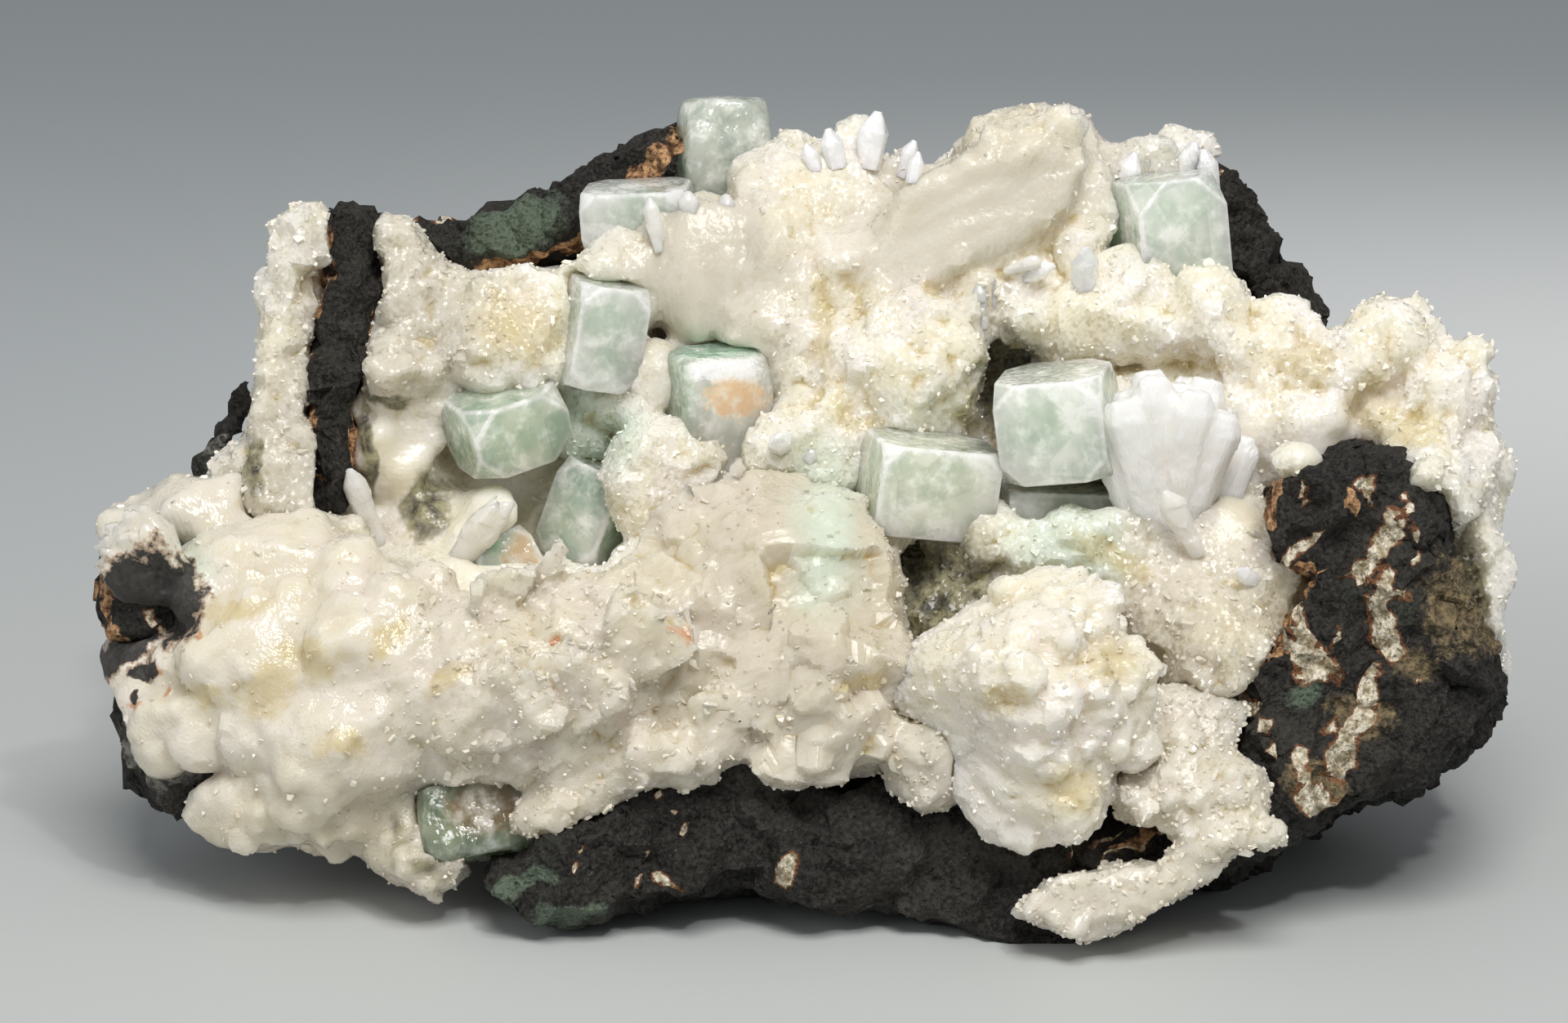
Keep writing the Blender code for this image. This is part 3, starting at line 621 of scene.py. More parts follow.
class Finish:
    def __init__(self, name):
        self.material = bpy.data.materials.new(name)
        self.material.use_nodes = True
        self.tree = self.material.node_tree
        self.tree.nodes.clear()
        self.place = self.node("TexCoord", outlet="Object")

    def node(self, kind, settings=None, inputs=None, outlet=0):
        made = self.tree.nodes.new("ShaderNode" + kind)
        for name, value in (settings or {}).items():
            setattr(made, name, value)
        for name, value in (inputs or {}).items():
            if isinstance(value, Wire):
                self.tree.links.new(value.socket, made.inputs[name])
            else:
                made.inputs[name].default_value = value
        return Wire(self, made.outputs[outlet])

    def painted(self, name):
        """The numbers that are stored for each point under this name."""
        return self.node("Attribute", {"attribute_name": name}, outlet="Fac")

    def vector(self, operation, *parts, outlet=0):
        return self.node("VectorMath", {"operation": operation}, dict(enumerate(parts)), outlet)

    def read_noise(self, place, fineness, detail, roughness):
        inputs = {"Vector": place, "Scale": fineness, "Detail": detail, "Roughness": roughness}
        return self.node("TexNoise", {}, inputs)

    def noise(self, size, detail, roughness, shift=0.0):
        """Noise around 0.5 with lumps of this many millimetres."""
        place = self.vector("ADD", self.place, (shift, shift, shift))
        return self.read_noise(place, 1 / (size * MM), detail, roughness)

    def ribs(self, foot, fineness):
        """Noise that is the same all along the lines from a foot."""
        away = self.vector("SUBTRACT", self.place, tuple(placed(foot).translation))
        return self.read_noise(self.vector("NORMALIZE", away), fineness, 1, 0.6)

    def oval(self, at, half_width, half_height):
        """1 in the middle of an oval on the open side, and 0 from its edge on."""
        away = self.vector("SUBTRACT", self.place, tuple(placed(at).translation))
        right, up, _ = (tuple(axis) for axis in FACE_AXES.transposed())
        across = self.vector("DOT_PRODUCT", away, right, outlet="Value") / (half_width * MM)
        along = self.vector("DOT_PRODUCT", away, up, outlet="Value") / (half_height * MM)
        return (1 - (across * across + along * along) ** 0.5).clamped()

    def cells(self, size, outlet="Distance"):
        """How far the middle of the nearest cell is, or a colour of its own for each cell."""
        inputs = {"Vector": self.place, "Scale": 1 / (size * MM)}
        return self.node("TexVoronoi", {}, inputs, outlet)

    def blend(self, share, first, second):
        """The second colour laid over the first by this share. A colour is a wire or a code."""
        parts = [part if isinstance(part, Wire) else (*rgb(part), 1) for part in (first, second)]
        inputs = {0: share, 6: parts[0], 7: parts[1]}
        return self.node("Mix", {"data_type": "RGBA"}, inputs, outlet=2)

    def bump(self, height, depth, normal=None):
        """A normal from a height between 0 and 1, which stands for this many millimetres."""
        inputs = {"Height": height, "Distance": depth * MM, "Strength": 1.0}
        if normal is not None:
            inputs["Normal"] = normal
        return self.node("Bump", {}, inputs)

    def glitter(self, size, strength, normal=None):
        """Turns the normal by a different amount in each small cell, so that each cell is a
        facet that catches the light by itself."""
        if normal is None:
            normal = self.node("NewGeometry", outlet="Normal")
        colour = self.cells(size, outlet="Color")
        centred = self.vector("SUBTRACT", colour, (0.5, 0.5, 0.5))
        scaled = self.vector("MULTIPLY", centred, (strength,) * 3)
        return self.vector("NORMALIZE", self.vector("ADD", normal, scaled))

    def surface(self, **sockets):
        """A Principled shader. Sockets are named in small letters, with _ for a space."""
        settings = {"subsurface_method": "RANDOM_WALK"}
        inputs = {}
        for name, value in sockets.items():
            title = name.replace("_", " ").title().replace("Ior", "IOR")
            inputs[title] = value
        return self.node("BsdfPrincipled", settings, inputs)

    def finish(self, shader, volume=None):
        made = self.tree.nodes.new("ShaderNodeOutputMaterial")
        self.tree.links.new(shader.socket, made.inputs["Surface"])
        if volume is not None:
            self.tree.links.new(volume.socket, made.inputs["Volume"])
        return self.material


def rgb(code):
    """Linear colour from the usual six hexadecimal digits."""
    parts = [int(code[i : i + 2], 16) / 255 for i in (0, 2, 4)]
    return tuple(p / 12.92 if p <= 0.04045 else ((p + 0.055) / 1.055) ** 2.4 for p in parts)


def dress(piece, material, *replaced, slot):
    """Gives the piece its finish, lets it ride on the specimen, and hides the solids that it stands
    for.
    """
    piece.data.materials.clear()
    piece.data.materials.append(material)
    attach(piece, "root")
    if replaced:
        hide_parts(*replaced)


def dress_skin(piece, masks, material, *replaced, slot, angle=SHARP):
    """Paints the masks, which are values by their names, and dresses the piece."""
    for name, values in masks.items():
        paint(piece, name, values)
    crisp(piece, angle)
    dress(piece, material, *replaced, slot=slot)


# %% [markdown]
# ## The finish of the basalt
#
# Fresh basalt is nearly black, dull and granular, with a few glinting grains. Old bubbles in it
# are filled with cream minerals, fine pale veins cross it, and a thin rusty skin lies wherever it
# touches the white crystals. The masks say where, and noise frays their edges.

# %% Basalt finish


def basalt_finish():
    f = Finish("basalt")
    grit = f.noise(0.6, 3, 0.65)
    patches = f.noise(11, 2, 0.5, shift=3)
    body = f.blend(grit.step(0.3, 0.72), "11100F", "383530")
    body = f.blend(patches.step(0.45, 0.75) * 0.4, body, "48453D")
    green = f.noise(14, 2, 0.5, shift=9).step(0.64, 0.75) * 0.25
    body = f.blend(green, body, "4A5747")
    fray = (f.noise(1.0, 3, 0.65, shift=5) - 0.5) * 0.6
    streaks = f.noise(1.1, 3, 0.6, shift=2).step(0.35, 0.65)
    grey = (f.painted("grey") + fray).step(0.4, 0.6)
    layers = f.blend(streaks, "4A4844", "98958B")
    body = f.blend(grey * 0.85, body, layers)
    mottle = (f.painted("brown") + fray).step(0.3, 0.6)
    earth = f.blend((fray + 0.5).step(0.3, 0.7), "2E2A20", "A08C68")
    body = f.blend(mottle * 0.8, body, earth)
    tint = (f.painted("green") + fray).step(0.35, 0.7)
    body = f.blend(tint * 0.6, body, "6F7F6C")
    fleck = f.cells(0.6).step(0.14, 0.07) * f.noise(2.5, 2, 0.5, shift=7).step(0.52, 0.62)
    body = f.blend(fleck * 0.55, body, "9A948A")
    rust = (f.painted("rust") + fray).step(0.42, 0.6)
    rusty = f.blend(streaks, "4C2F1C", "C59A70")
    body = f.blend(rust, body, rusty)
    cream = (f.painted("cream") + fray).step(0.48, 0.56)
    halo = (f.painted("cream") + fray).step(0.36, 0.44)
    body = f.blend(halo * 0.8, body, "7A4E30")
    pale = f.blend(streaks, "8F8062", "E6DDC8")
    body = f.blend(cream, body, pale)
    height = f.noise(0.8, 3, 0.7, shift=1) + f.cells(0.7) * 0.5
    normal = f.bump(height, 0.5)
    sparkle = f.glitter(0.3, 1.0, normal)
    glint = f.cells(0.3, outlet="Color").step(0.86, 0.97)
    rough = 0.85 - glint * 0.62
    shader = f.surface(
        base_color=body, roughness=rough, normal=sparkle, ior=1.5, specular_ior_level=0.35
    )
    return f.finish(shader)


basalt = basalt_finish()
print("basalt finish:", len(basalt.node_tree.nodes), "nodes")

# %% [markdown]
# ## The finish of the stilbite
#
# Stilbite is milky: light goes in, wanders and comes out again, which is what subsurface
# scattering gives. In places the white is stained cream to ochre, and its creases are painted a
# darker ochre as shade. Thousands of tiny crystal faces sparkle on it: small cells that each turn
# the normal their own way, some of them glossier than others.

# %% Stilbite finish


def stilbite_finish(
    name, ground, warm, glint, foot, fineness=60.0, satin=0.12, grainy=1.0, inner=0.6
):
    """Warm is the share of cream, and glint is how far the tiny faces turn. The fibres spread
    from the foot, with a fineness and a depth, satin. Grainy is how deep the grain is, and inner
    is the share of light that wanders inside."""
    f = Finish(name)
    fray = (f.noise(1.5, 3, 0.65, shift=5) - 0.5) * 0.55
    broad = f.noise(7, 2, 0.55, shift=1)
    body = f.blend(broad.step(0.35, 0.68) * warm, ground, "E9DFC4")
    body = f.blend(broad.step(0.56, 0.35) * 0.3, body, "EFE0D6")
    cool = (f.painted("cool") + fray).step(0.3, 0.7)
    body = f.blend(cool * 0.8, body, "E4E0D7")
    # Painted shade: a darker, warmer tone laid over where the skin is marked as lying in shade
    body = f.blend(f.painted("painted_shade"), body, "B9AE95")
    mint = (f.painted("mint") + fray * 0.5).step(0.2, 0.7)
    body = f.blend(mint * 0.75, body, "D6E2D2")
    # Painted shade in the creases: a darker ochre where the skin lies deep in a crease
    creases = (f.painted("hollow") + fray).step(0.35, 0.95) * broad.step(0.42, 0.6)
    body = f.blend(creases * 0.65, body, "CBB880")
    stain = (f.painted("stain") + fray).step(0.35, 0.75)
    body = f.blend(stain * (fray + 0.45), body, "C4AE62")
    rust = (f.painted("rust") + fray).step(0.4, 0.7)
    body = f.blend(rust * 0.75, body, "C98A5C")
    # Dark dirt, and painted shadow in pits and gaps, in grey-brown tones
    earth = f.blend((fray + 0.5).step(0.38, 0.62), "35322A", "A29C7C")
    dirt_and_shadow = (f.painted("dirt_and_shadow") + fray).step(0.3, 0.62)
    body = f.blend(dirt_and_shadow * 0.95, body, earth)
    rock = f.painted("rock") + fray
    body = f.blend(rock.step(0.41, 0.47) * 0.6, body, "A07858")
    rocky = rock.step(0.46, 0.54)
    black = f.blend((fray + 0.5).step(0.3, 0.7), "171614", "45423D")
    body = f.blend(rocky, body, black)
    sugar = f.painted("sugar")
    fibres = f.ribs(foot, fineness)
    height = f.noise(1.0, 2, 0.6, shift=2) * grainy + fibres * satin * 8
    normal = f.bump(height, 0.13)
    facets = f.glitter(0.42, glint, normal)
    share = (sugar + rocky).clamped()
    mixed = f.node("Mix", {"data_type": "VECTOR"}, {0: share, 4: normal, 5: facets}, outlet=1)
    shiny = f.cells(0.42, outlet="Color").step(0.45, 0.85)
    rough = 0.3 - shiny * sugar * 0.2 - f.painted("gloss") * 0.16 + rocky * 0.45
    shader = f.surface(
        base_color=body,
        roughness=rough.clamped(),
        normal=mixed,
        ior=1.5,
        subsurface_weight=inner,
        subsurface_radius=(1.0, 0.9, 0.7),
        subsurface_scale=0.006,
    )
    return f.finish(shader)


crust_white = stilbite_finish("stilbite_crust", "F1EDE2", 0.75, 0.7, (-10, 47, -10), 40, 0.12)
front_white = stilbite_finish("stilbite_front", "F1EBE0", 0.6, 0.4, (-52, 2, -6), 90, 0.12, 0.7)
wedge_white = stilbite_finish("stilbite_wedge", "F1ECE0", 0.6, 0.6, (11, 22, 19), 60, 0.1, 0.8)
ledge_white = stilbite_finish("stilbite_ledge", "EEEAE0", 0.5, 0.6, (60, 30, 10), 60, 0.12)
fan_white = stilbite_finish("stilbite_fan", "F5F3EF", 0.1, 0.3, (43, 32, 6), 70, 0.14, 0.3)
blade_white = stilbite_finish("stilbite_blades", "F3F1EC", 0.15, 0.3, (-40, 31, 3), 60, 0.08, 0.4)
loose_white = stilbite_finish("stilbite_loose", "F6F3EC", 0.5, 0.6, (0, 30, 0), inner=0.0)
print("stilbite finish:", len(crust_white.node_tree.nodes), "nodes")

# %% [markdown]
# ## The finish of the apophyllite
#
# These crystals are clear and faintly green. The colour comes from the depth that light crosses,
# so it is set as absorption inside the crystal and not on its skin. Inside are veils of tiny
# cracks and bubbles, which show as milky clouds: a mix of the clear shader with a soft white one.

# %% Apophyllite finish
# What colours the crystals let through
GREEN = (0.66, 0.90, 0.78, 1)
YELLOWISH = (0.80, 0.92, 0.66, 1)
GREYISH = (0.80, 0.90, 0.80, 1)
BROWNISH = (0.66, 0.86, 0.62, 1)
# Lines that spread from so far below are all but parallel
FAR_BELOW = (10, -250, 0)
LINE_FINENESS = 420.0
CLEAR_INDEX = 1.535


def apophyllite_finish(name, tint, density, milk, milky, pale, marks=(), glow=0.012):
    """Marks are coloured clouds in the crystal: a place, half a width and height, a colour. Glow
    is how far light wanders in the milky share, in metres."""
    f = Finish(name)
    veil = f.noise(5.0, 2, 0.6, shift=1)
    threads = f.noise(0.8, 2, 0.7, shift=2)
    cracks = f.cells(4.6, outlet="Color")
    body = f.blend(veil.step(0.3, 0.7) * 0.8 + cracks.step(0.3, 0.8) * 0.2, milky, pale)
    share = veil.step(0.35, 0.7) * 0.2 + cracks.step(0.2, 0.9) * 0.15 + milk
    for at, half_width, half_height, colour in marks:
        cloud = (f.oval(at, half_width, half_height) + (threads - 0.5) * 0.9).step(0.05, 0.5)
        body = f.blend(cloud * 0.8, body, colour)
        share = share + cloud * 0.3
    # The rims of broad faces are paler: partly chipped edges, partly a painted highlight where
    # edges catch the light
    edge = f.painted("edge")
    edge = edge * edge
    frost = (f.noise(2.6, 3, 0.65, shift=6) + edge * 0.06).step(0.42, 0.74)
    body = f.blend(edge * 0.35 + frost * 0.5, body, "F8FAF2")
    share = share + edge * 0.1 + frost * 0.3
    lines = f.ribs(FAR_BELOW, LINE_FINENESS)
    planes = f.glitter(3.2, 0.22)
    normal = f.bump(threads * (frost + 0.4) + lines, 0.12, planes)
    clear = f.surface(
        base_color=(0.97, 1.0, 0.98, 1),
        roughness=0.05 + threads.step(0.5, 0.7) * 0.15,
        normal=normal,
        ior=CLEAR_INDEX,
        transmission_weight=1.0,
    )
    soft = f.surface(
        base_color=body,
        roughness=0.14 + frost * 0.16 - f.cells(0.5, outlet="Color").step(0.6, 0.9) * 0.1,
        normal=f.glitter(0.5, 0.25, normal),
        ior=CLEAR_INDEX,
        subsurface_weight=0.9,
        subsurface_radius=(0.9, 1.0, 0.9),
        subsurface_scale=glow,
    )
    mixed = f.node("MixShader", {}, {0: share.clamped(), 1: clear, 2: soft})
    depth = f.node("VolumeAbsorption", {}, {"Color": tint, "Density": density})
    return f.finish(mixed, depth)


# In the heart crystal the first mark is painted shade on its left side face, and the others are its
# own colours
HEART_MARKS = (
    ((-13.2, 53.5, 8), 3.6, 9.0, "8FA38F"),
    ((-8.2, 60.2, 8), 9.0, 3.0, "93C4A8"),
    ((-7.4, 56.8, 8), 5.4, 2.0, "F8F9F5"),
    ((-5.8, 53.8, 8), 4.8, 3.0, "E0B488"),
)
STAINED_MARKS = (((-28.6, 36.5, 4), 4.8, 7.0, "DDB088"), ((-33.5, 40, 4), 4.0, 5.0, "9CC6A4"))
UNDER_MARKS = (((-34, 8, 18), 6.0, 4.0, "8E7050"),)
clear_green = apophyllite_finish("apophyllite", GREEN, 5, 0.62, "D2E6CF", "F0F3E6")
# The crystals that differ from it: tint, density, milk, its two colours, and clouds
APOPHYLLITES = {
    "left": (GREEN, 10, 0.5, "BCD6BC", "DAE2CA"),
    "middle": (GREEN, 6, 0.58, "D0DEC4", "E6E9D4"),
    "heart": (GREEN, 12, 0.5, "DADFCD", "E6E6D8", HEART_MARKS),
    "stained": (GREEN, 12, 0.55, "BFD9C0", "D4DFC4", STAINED_MARKS),
    "ledge": (YELLOWISH, 12, 0.6, "D9E4C6", "EAEEDC"),
    "top": (GREYISH, 12, 0.5, "BAC3B4", "D0D4C6"),
    "under": (BROWNISH, 25, 0.3, "93A888", "AEB89A", UNDER_MARKS),
}
crystal_finishes = {
    name + "_crystal": apophyllite_finish("apophyllite_" + name, *settings)
    for name, settings in APOPHYLLITES.items()
}
crystal_finishes["lower_left_crystal"] = crystal_finishes["left_crystal"]
print("apophyllite finish:", len(clear_green.node_tree.nodes), "nodes")

# %% [markdown]
# ## The rock
#
# The basalt is broken, not grown: large curved breaks, steps, and a coarse grain on all of it.
# Three scales of noise push the skin in and out, and flat facets between them give the hackly
# look of a fresh break.

# %% The rock
# Marks on the basalt. A vein or a rusty line is half its width and its points.
CREAM_SPOTS = [
    (0, 1.5, 1.3, 1.5), (26, 6, 1.2, 1.0), (-14, -0.3, 1.3, 0.6, 10), (65.0, 43.1, 1.2, 1.4),
    (59.3, 23.3, 2.3, 2.3), (57.0, 36.0, 1.2, 0.9, 30), (63.6, 34.3, 0.9, 1.3, -20),
    (61.4, 27.9, 0.5, 1.5, -10), (58.6, 41.6, 0.5, 0.8), (53.8, 16.7, 0.7, 0.7),
    (50.9, 19.2, 1.2, 0.6, 30), (59.0, 9.6, 1.6, 1.2), (61.0, 16.0, 0.9, 0.6),
    (70.9, 22.4, 0.8, 0.6),
]
VEINS = [
    (0.16, [(-24, 0), (-23.2, 2), (-23.6, 4)]),
    (0.14, [(-17, -1), (-16, 1.5), (-15.4, 4)]),
    (0.14, [(-14, 9), (-12, 6), (-11.5, 4)]),
    (0.18, [(30, 1.2), (33, 3), (37, 5.2)]),
    (0.2, [(34, 0.5), (38, 3.4), (43, 5)]),
    (0.9, [(67.8, 40.8), (67.1, 38.3), (65.7, 36.7), (63.8, 34.4)]),
    (1.7, [(66.9, 32.9), (65.6, 30.4), (66.3, 27.4), (66.7, 25.4)]),
    (0.8, [(67.0, 32.8), (69.2, 32.0)]),
    (0.5, [(57.4, 36.2), (59, 37.8), (60, 38.8)]),
    (0.9, [(58.3, 30.2), (57.7, 26.4), (57.0, 24.4), (55.4, 26.8)]),
    (0.6, [(65.7, 22.3), (64.3, 20.2)]),
    (1.0, [(65.3, 20.0), (63.8, 16.9), (62.6, 15), (61.4, 12.6)]),
    (0.9, [(57.9, 13.8), (57.4, 11.2)]),
    (0.3, [(52.6, 13.8), (54.2, 15.2)]),
    (0.35, [(69.8, 42), (69.6, 38), (70.2, 35)]),
    (0.4, [(-72, 31), (-71, 28), (-69.5, 25.5)]),
]
BROWN_SPOTS = [(76, 31, 4, 5), (70, 24, 2.5, 1.5), (64, 18, 3, 2.5), (59, 11, 3, 2)]
RUST_LINES = [
    (1.0, [(-34, 68.3), (-30, 69), (-24, 71), (-23, 74), (-18, 77), (-12, 85)]),
    (0.5, [(-53.4, 45), (-53, 52), (-53.8, 60), (-51.8, 67), (-51, 72)]),
    (0.4, [(-50, 45), (-48.7, 52), (-47, 60), (-45.5, 67)]),
    (0.5, [(52, 10), (49, 17), (52, 22), (55, 27), (60, 33), (57, 36), (54, 35), (55, 44)]),
    (0.5, [(-77, 34), (-76, 27), (-73, 24), (-70, 26), (-66, 30), (-65, 34)]),
    (0.35, [(36, 3), (44, 6), (50, 9)]),
    (0.5, [(57.6, 29), (57, 25), (55, 27)]),
    (0.35, [(60.4, 34.6), (60.8, 33.2)]),
    (0.35, [(62.8, 42.6), (62.4, 41)]),
]
GREY_SPOTS = [(-71, 14, 4.5, 2.6, -40), (-64, 52, 2.5, 5, -25)]
GREEN_SPOTS = [(-29, -1, 3, 1.2, 20), (-24, -4, 3, 1), (-31, 73.4, 5.5, 3.4, 25), (58, 20, 2, 1.5)]
# Size, tilt, seed, share and limit of the facets, from the broad breaks to the fine ones
ROCK_FACETS = ((6.0, 18, 8, 0.7, 1.5), (3.0, 24, 3, 0.8, 1.0), (1.7, 24, 4, 0.8, 0.8))
# Up to this height in millimetres the rock gets smoother towards its flat base
BASE_MARGIN = 2.5
# The block at the right is the most broken, and what lies this deep is the unseen back
BLOCK_LEFT = 48
BACK_DEPTH = -18


def make_rock():
    rock = fine_skin("basalt_rock", "basalt_matrix", 0.78, 3)
    points = points_of(rock)
    places = on_side(points)
    flat = np.clip(points[:, 2] / (BASE_MARGIN * MM), 0, 1)
    rough = grain(points, 10, 1) * 0.7 + grain(points, 2.8, 2) * 0.7
    swell(rock, rough * flat + 0.05)
    for size, tilt, seed, share, limit in ROCK_FACETS:
        facet(rock, size, tilt, seed, share * flat, limit)
    swell(rock, grain(points, 1.3, 5) * 0.4 * flat * (places[:, 0] > BLOCK_LEFT))
    moved = points_of(rock)
    moved[:, 2] = np.maximum(moved[:, 2], 0)
    put_points(rock, moved)
    crooked = warped(points, 1.1, 4, 7)
    back = np.where(places[:, 2] < BACK_DEPTH, grain(points, 4, 6, 2) * 1.3 - 0.35, 0)
    veins = strokes(crooked, VEINS, 0) * 0.95
    masks = {
        "cream": np.maximum(np.maximum(spots(crooked, CREAM_SPOTS, 0), veins), back),
        "rust": strokes(crooked, RUST_LINES, -14),
        "grey": spots(crooked, GREY_SPOTS),
        "green": spots(crooked, GREEN_SPOTS),
        "brown": spots(crooked, BROWN_SPOTS),
    }
    dress_skin(rock, masks, basalt, "basalt_matrix", slot="basalt")
    return rock


rock = make_rock()

# %% [markdown]
# ## Ribs
#
# Stilbite grows in sheaves: blades side by side that spread from one foot. The ribs that this
# leaves all point to the foot. Noise that is read on the direction from the foot, and not on the
# place itself, is the same all along a rib, so it makes just such ribs.

# %% Ribs
# A crease this deep, in millimetres, counts in full. The smoothed copy leaves such creases out.
CREASE = 0.35
CREASE_ROUNDS = 8
CREASE_SMOOTHING = 0.9


def ribs(points, foot, fineness, seed, along=0.0):
    """Noise that is drawn out along the lines from a foot. Along breaks the lines up."""
    start = np.array(placed(foot).translation)
    away = points - start
    distance = np.linalg.norm(away, axis=1)
    way = away / np.maximum(distance, 1e-6)[:, None]
    read = way * fineness + (distance * along / MM)[:, None]
    return grain(read * MM, 1.0, seed, 3)


def hollows(piece):
    """How deep each point lies in a crease: the skin is compared with a smoothed copy of it."""
    smooth = linked("smooth", piece.data.copy())
    ease = smooth.modifiers.new("ease", "SMOOTH")
    ease.factor = CREASE_SMOOTHING
    ease.iterations = CREASE_ROUNDS
    apply_modifiers(smooth)
    rise = np.einsum("ij,ij->i", points_of(smooth) - points_of(piece), normals_of(piece)) / MM
    data = smooth.data
    bpy.data.objects.remove(smooth)
    bpy.data.meshes.remove(data)
    return np.clip(rise / CREASE, 0, 1)


# %% [markdown]
# ## The crust
#
# A sugary crust lines the hollow: rounded knobs of stilbite, each covered in small crystal faces.
# Some parts of it are smooth, such as the side of the long barrel at the top and the pale slab at
# its left, so a mask holds the facets back there.

# %% The crust
# Marks on the crust: smooth, stained, dark dirt with painted shadow, cool white, painted shade and
# green
SMOOTH_SPOTS = [
    (-34, 39, 7, 7), (-10, 67, 9, 12), (20, 75, 13, 6, 23), (61, 48, 4, 5), (-45, 47, 6, 7),
    (50, 45, 3, 9, -12),
]
STAIN_SPOTS = [
    (4, 62, 1.6, 7, 8), (6, 52, 1.6, 3), (9, 50.5, 2.6, 1.0, 10), (-30, 62, 5, 4),
    (16, 66, 1.5, 1.5), (20, 52, 1.2, 3), (46, 57, 4, 1.2), (65, 53, 3, 4), (58, 58, 3, 3),
    (70, 50, 4, 2, 20), (36, 36, 5, 1.4, -30),
]
# Dark dirt, and painted shadow in deep pits and gaps such as the one beside the leaf
DIRT_AND_SHADOW_SPOTS = [
    (17, 32, 7, 7), (24.5, 55, 3.4, 6), (-40.5, 41.5, 2.4, 3), (-60, 46, 1.2, 3),
    (76, 30, 2.5, 10), (-45.3, 53.7, 3.0, 0.7), (-47.6, 46, 0.8, 8),
]
COOL_SPOTS = [
    (-43, 64, 7, 11), (-56, 47, 6, 8), (44, 81, 8, 4), (-10, 68, 8, 11), (20, 75.5, 12, 6, 23),
]
# Spots of painted shade on the crust
PAINTED_SHADE_SPOTS = [
    (47, 25, 14, 12), (-54, 45, 7, 12), (-43, 64, 8, 10), (-10, 68, 8, 10),
    (20.5, 75.5, 13, 6, 22),
]
MINT_SPOTS = [(3, 38, 5, 9), (31, 37, 6, 4), (-22, 50, 5, 4)]
# Place, radius, depth and turn of the large round knobs
ROSETTES = [
    (14, 58, 8.0, 7, (12, -10, 0)), (4, 66.5, 6.2, 7, (-10, 12, 0)), (1.5, 57, 5.0, 6, (0, 5, 0)),
    (23.5, 65, 5.0, 6, (-10, -15, 0)), (-31, 61, 8.0, 8, (-5, 10, 0)),
    (-22, 56, 5.5, 7, (5, 5, 0)), (21.5, 36.5, 6.5, 7, (25, -10, 0)),
    (32, 36, 6.0, 7, (15, 10, 0)), (5, 49, 4.2, 6, (10, 0, 0)), (38, 66, 5.0, 6, (-10, 0, 0)),
    (47, 64, 5.0, 6, (0, 8, 0)), (55, 60, 5.5, 6, (0, -8, 0)), (53, 50, 5.5, 7, (8, 0, 0)),
    (60, 57, 4.5, 6, (0, 12, 0)), (67, 60, 5.0, 7, (-8, 10, 0)), (73, 54, 5.0, 8, (0, 18, 0)),
    (66, 52.5, 5.5, 12, (0, 0, 0)), (-12, 47, 5.0, 7, (10, 0, 0)),
]
# Lumps that close the hollow where the photo shows no gap
CRUST_FILLERS = [
    ((31, 60.5, 0), (8, 7, 10)), ((36, 61, 0), (8, 7, 10)), ((41.5, 61, 1), (8, 7, 10)),
    ((26.5, 62.5, 1), (7, 6, 9)), ((66, 51, 3), (7, 8, 11)), ((4, 45, 3), (9, 7, 9)),
    ((10.5, 46, 4), (7, 7, 9)), ((-15, 56, 0), (8, 9, 8)), ((-14, 46, 3), (8, 11, 9)),
    ((57.0, 46.6, 19), (6, 4, 5)), ((71.4, 45.2, 19), (4, 4, 5)),
]
# The broad slab at the upper left and the long barrel, lump by lump: place, size and turn
CRUST_BODIES = [
    ((-13.4, 68.4, -1.0), (6.4, 15.0, 6.0), (0, 0, 12)),
    ((-10.6, 68.2, -0.4), (7.0, 17.0, 6.0), (0, 0, 5)),
    ((-7.6, 68.2, -0.6), (7.0, 16.0, 6.0), (0, 0, -3)),
    ((-9.4, 72.4, -0.8), (12.6, 7.0, 5.4), (0, 0, 2)),
    ((19.6, 75.2, 0.0), (23.0, 10.8, 11.0), (0, 0, 22)),
    ((25.5, 77.8, 0.0), (12.0, 9.4, 10.0), (0, 0, 22)),
]
# Place, size and turn of the larger blades
CRUST_BLADES = [
    ((27, 57.8), (3.4, 18, 2.4), (4, 20, -86)), ((28, 59.6), (2.2, 13, 1.8), (4, 10, -80)),
    ((-14.5, 70), (2.4, 6.4, 1.8), (6, 10, 12)), ((-11, 71), (2.8, 6.0, 1.8), (6, 0, 4)),
    ((-7.5, 70.5), (2.6, 6.2, 1.8), (6, 0, -6)), ((22, 60), (2.0, 7, 1.4), (12, 10, 8)),
    ((24, 68), (2.0, 4.6, 1.6), (20, 0, -75)), ((46, 36), (3.4, 9, 1.6), (20, -10, 30)),
    ((-46, 37), (3.2, 10, 2.2), (20, 0, 20)),
]
# How many knobs, the box they fill, their sizes and how deep they are sunk
CRUST_KNOBS = [
    (170, (-60, -52, 40, 75), (1.0, 2.2), 0.35),
    (70, (-50, -36, 38, 60), (2.0, 4.5), 0.35),
    (90, (40, 80, 40, 64), (2.0, 4.6), 0.35),
    (60, (18, 48, 78, 88), (1.8, 4.2), 0.35),
    (40, (-20, 40, 44, 70), (1.6, 3.0), 0.35),
]
# Where the slab and the barrel are ribbed
SLAB = [(-10, 68, 9, 12)]
BARREL = [(20, 75, 14, 7, 22)]


def crust_forms():
    heap = Heap(80)
    node = "stilbite_crust"
    for right, up, radius, depth, turn in ROSETTES:
        heap.rosette((right, up, out_at(node, right, up) - 0.62 * radius), radius, depth, turn)
    for place, size in CRUST_FILLERS:
        heap.lump(place, size)
    for place, size, turn in CRUST_BODIES:
        heap.lump(place, size, turn)
    heap.knobs(node, CRUST_KNOBS)
    return heap


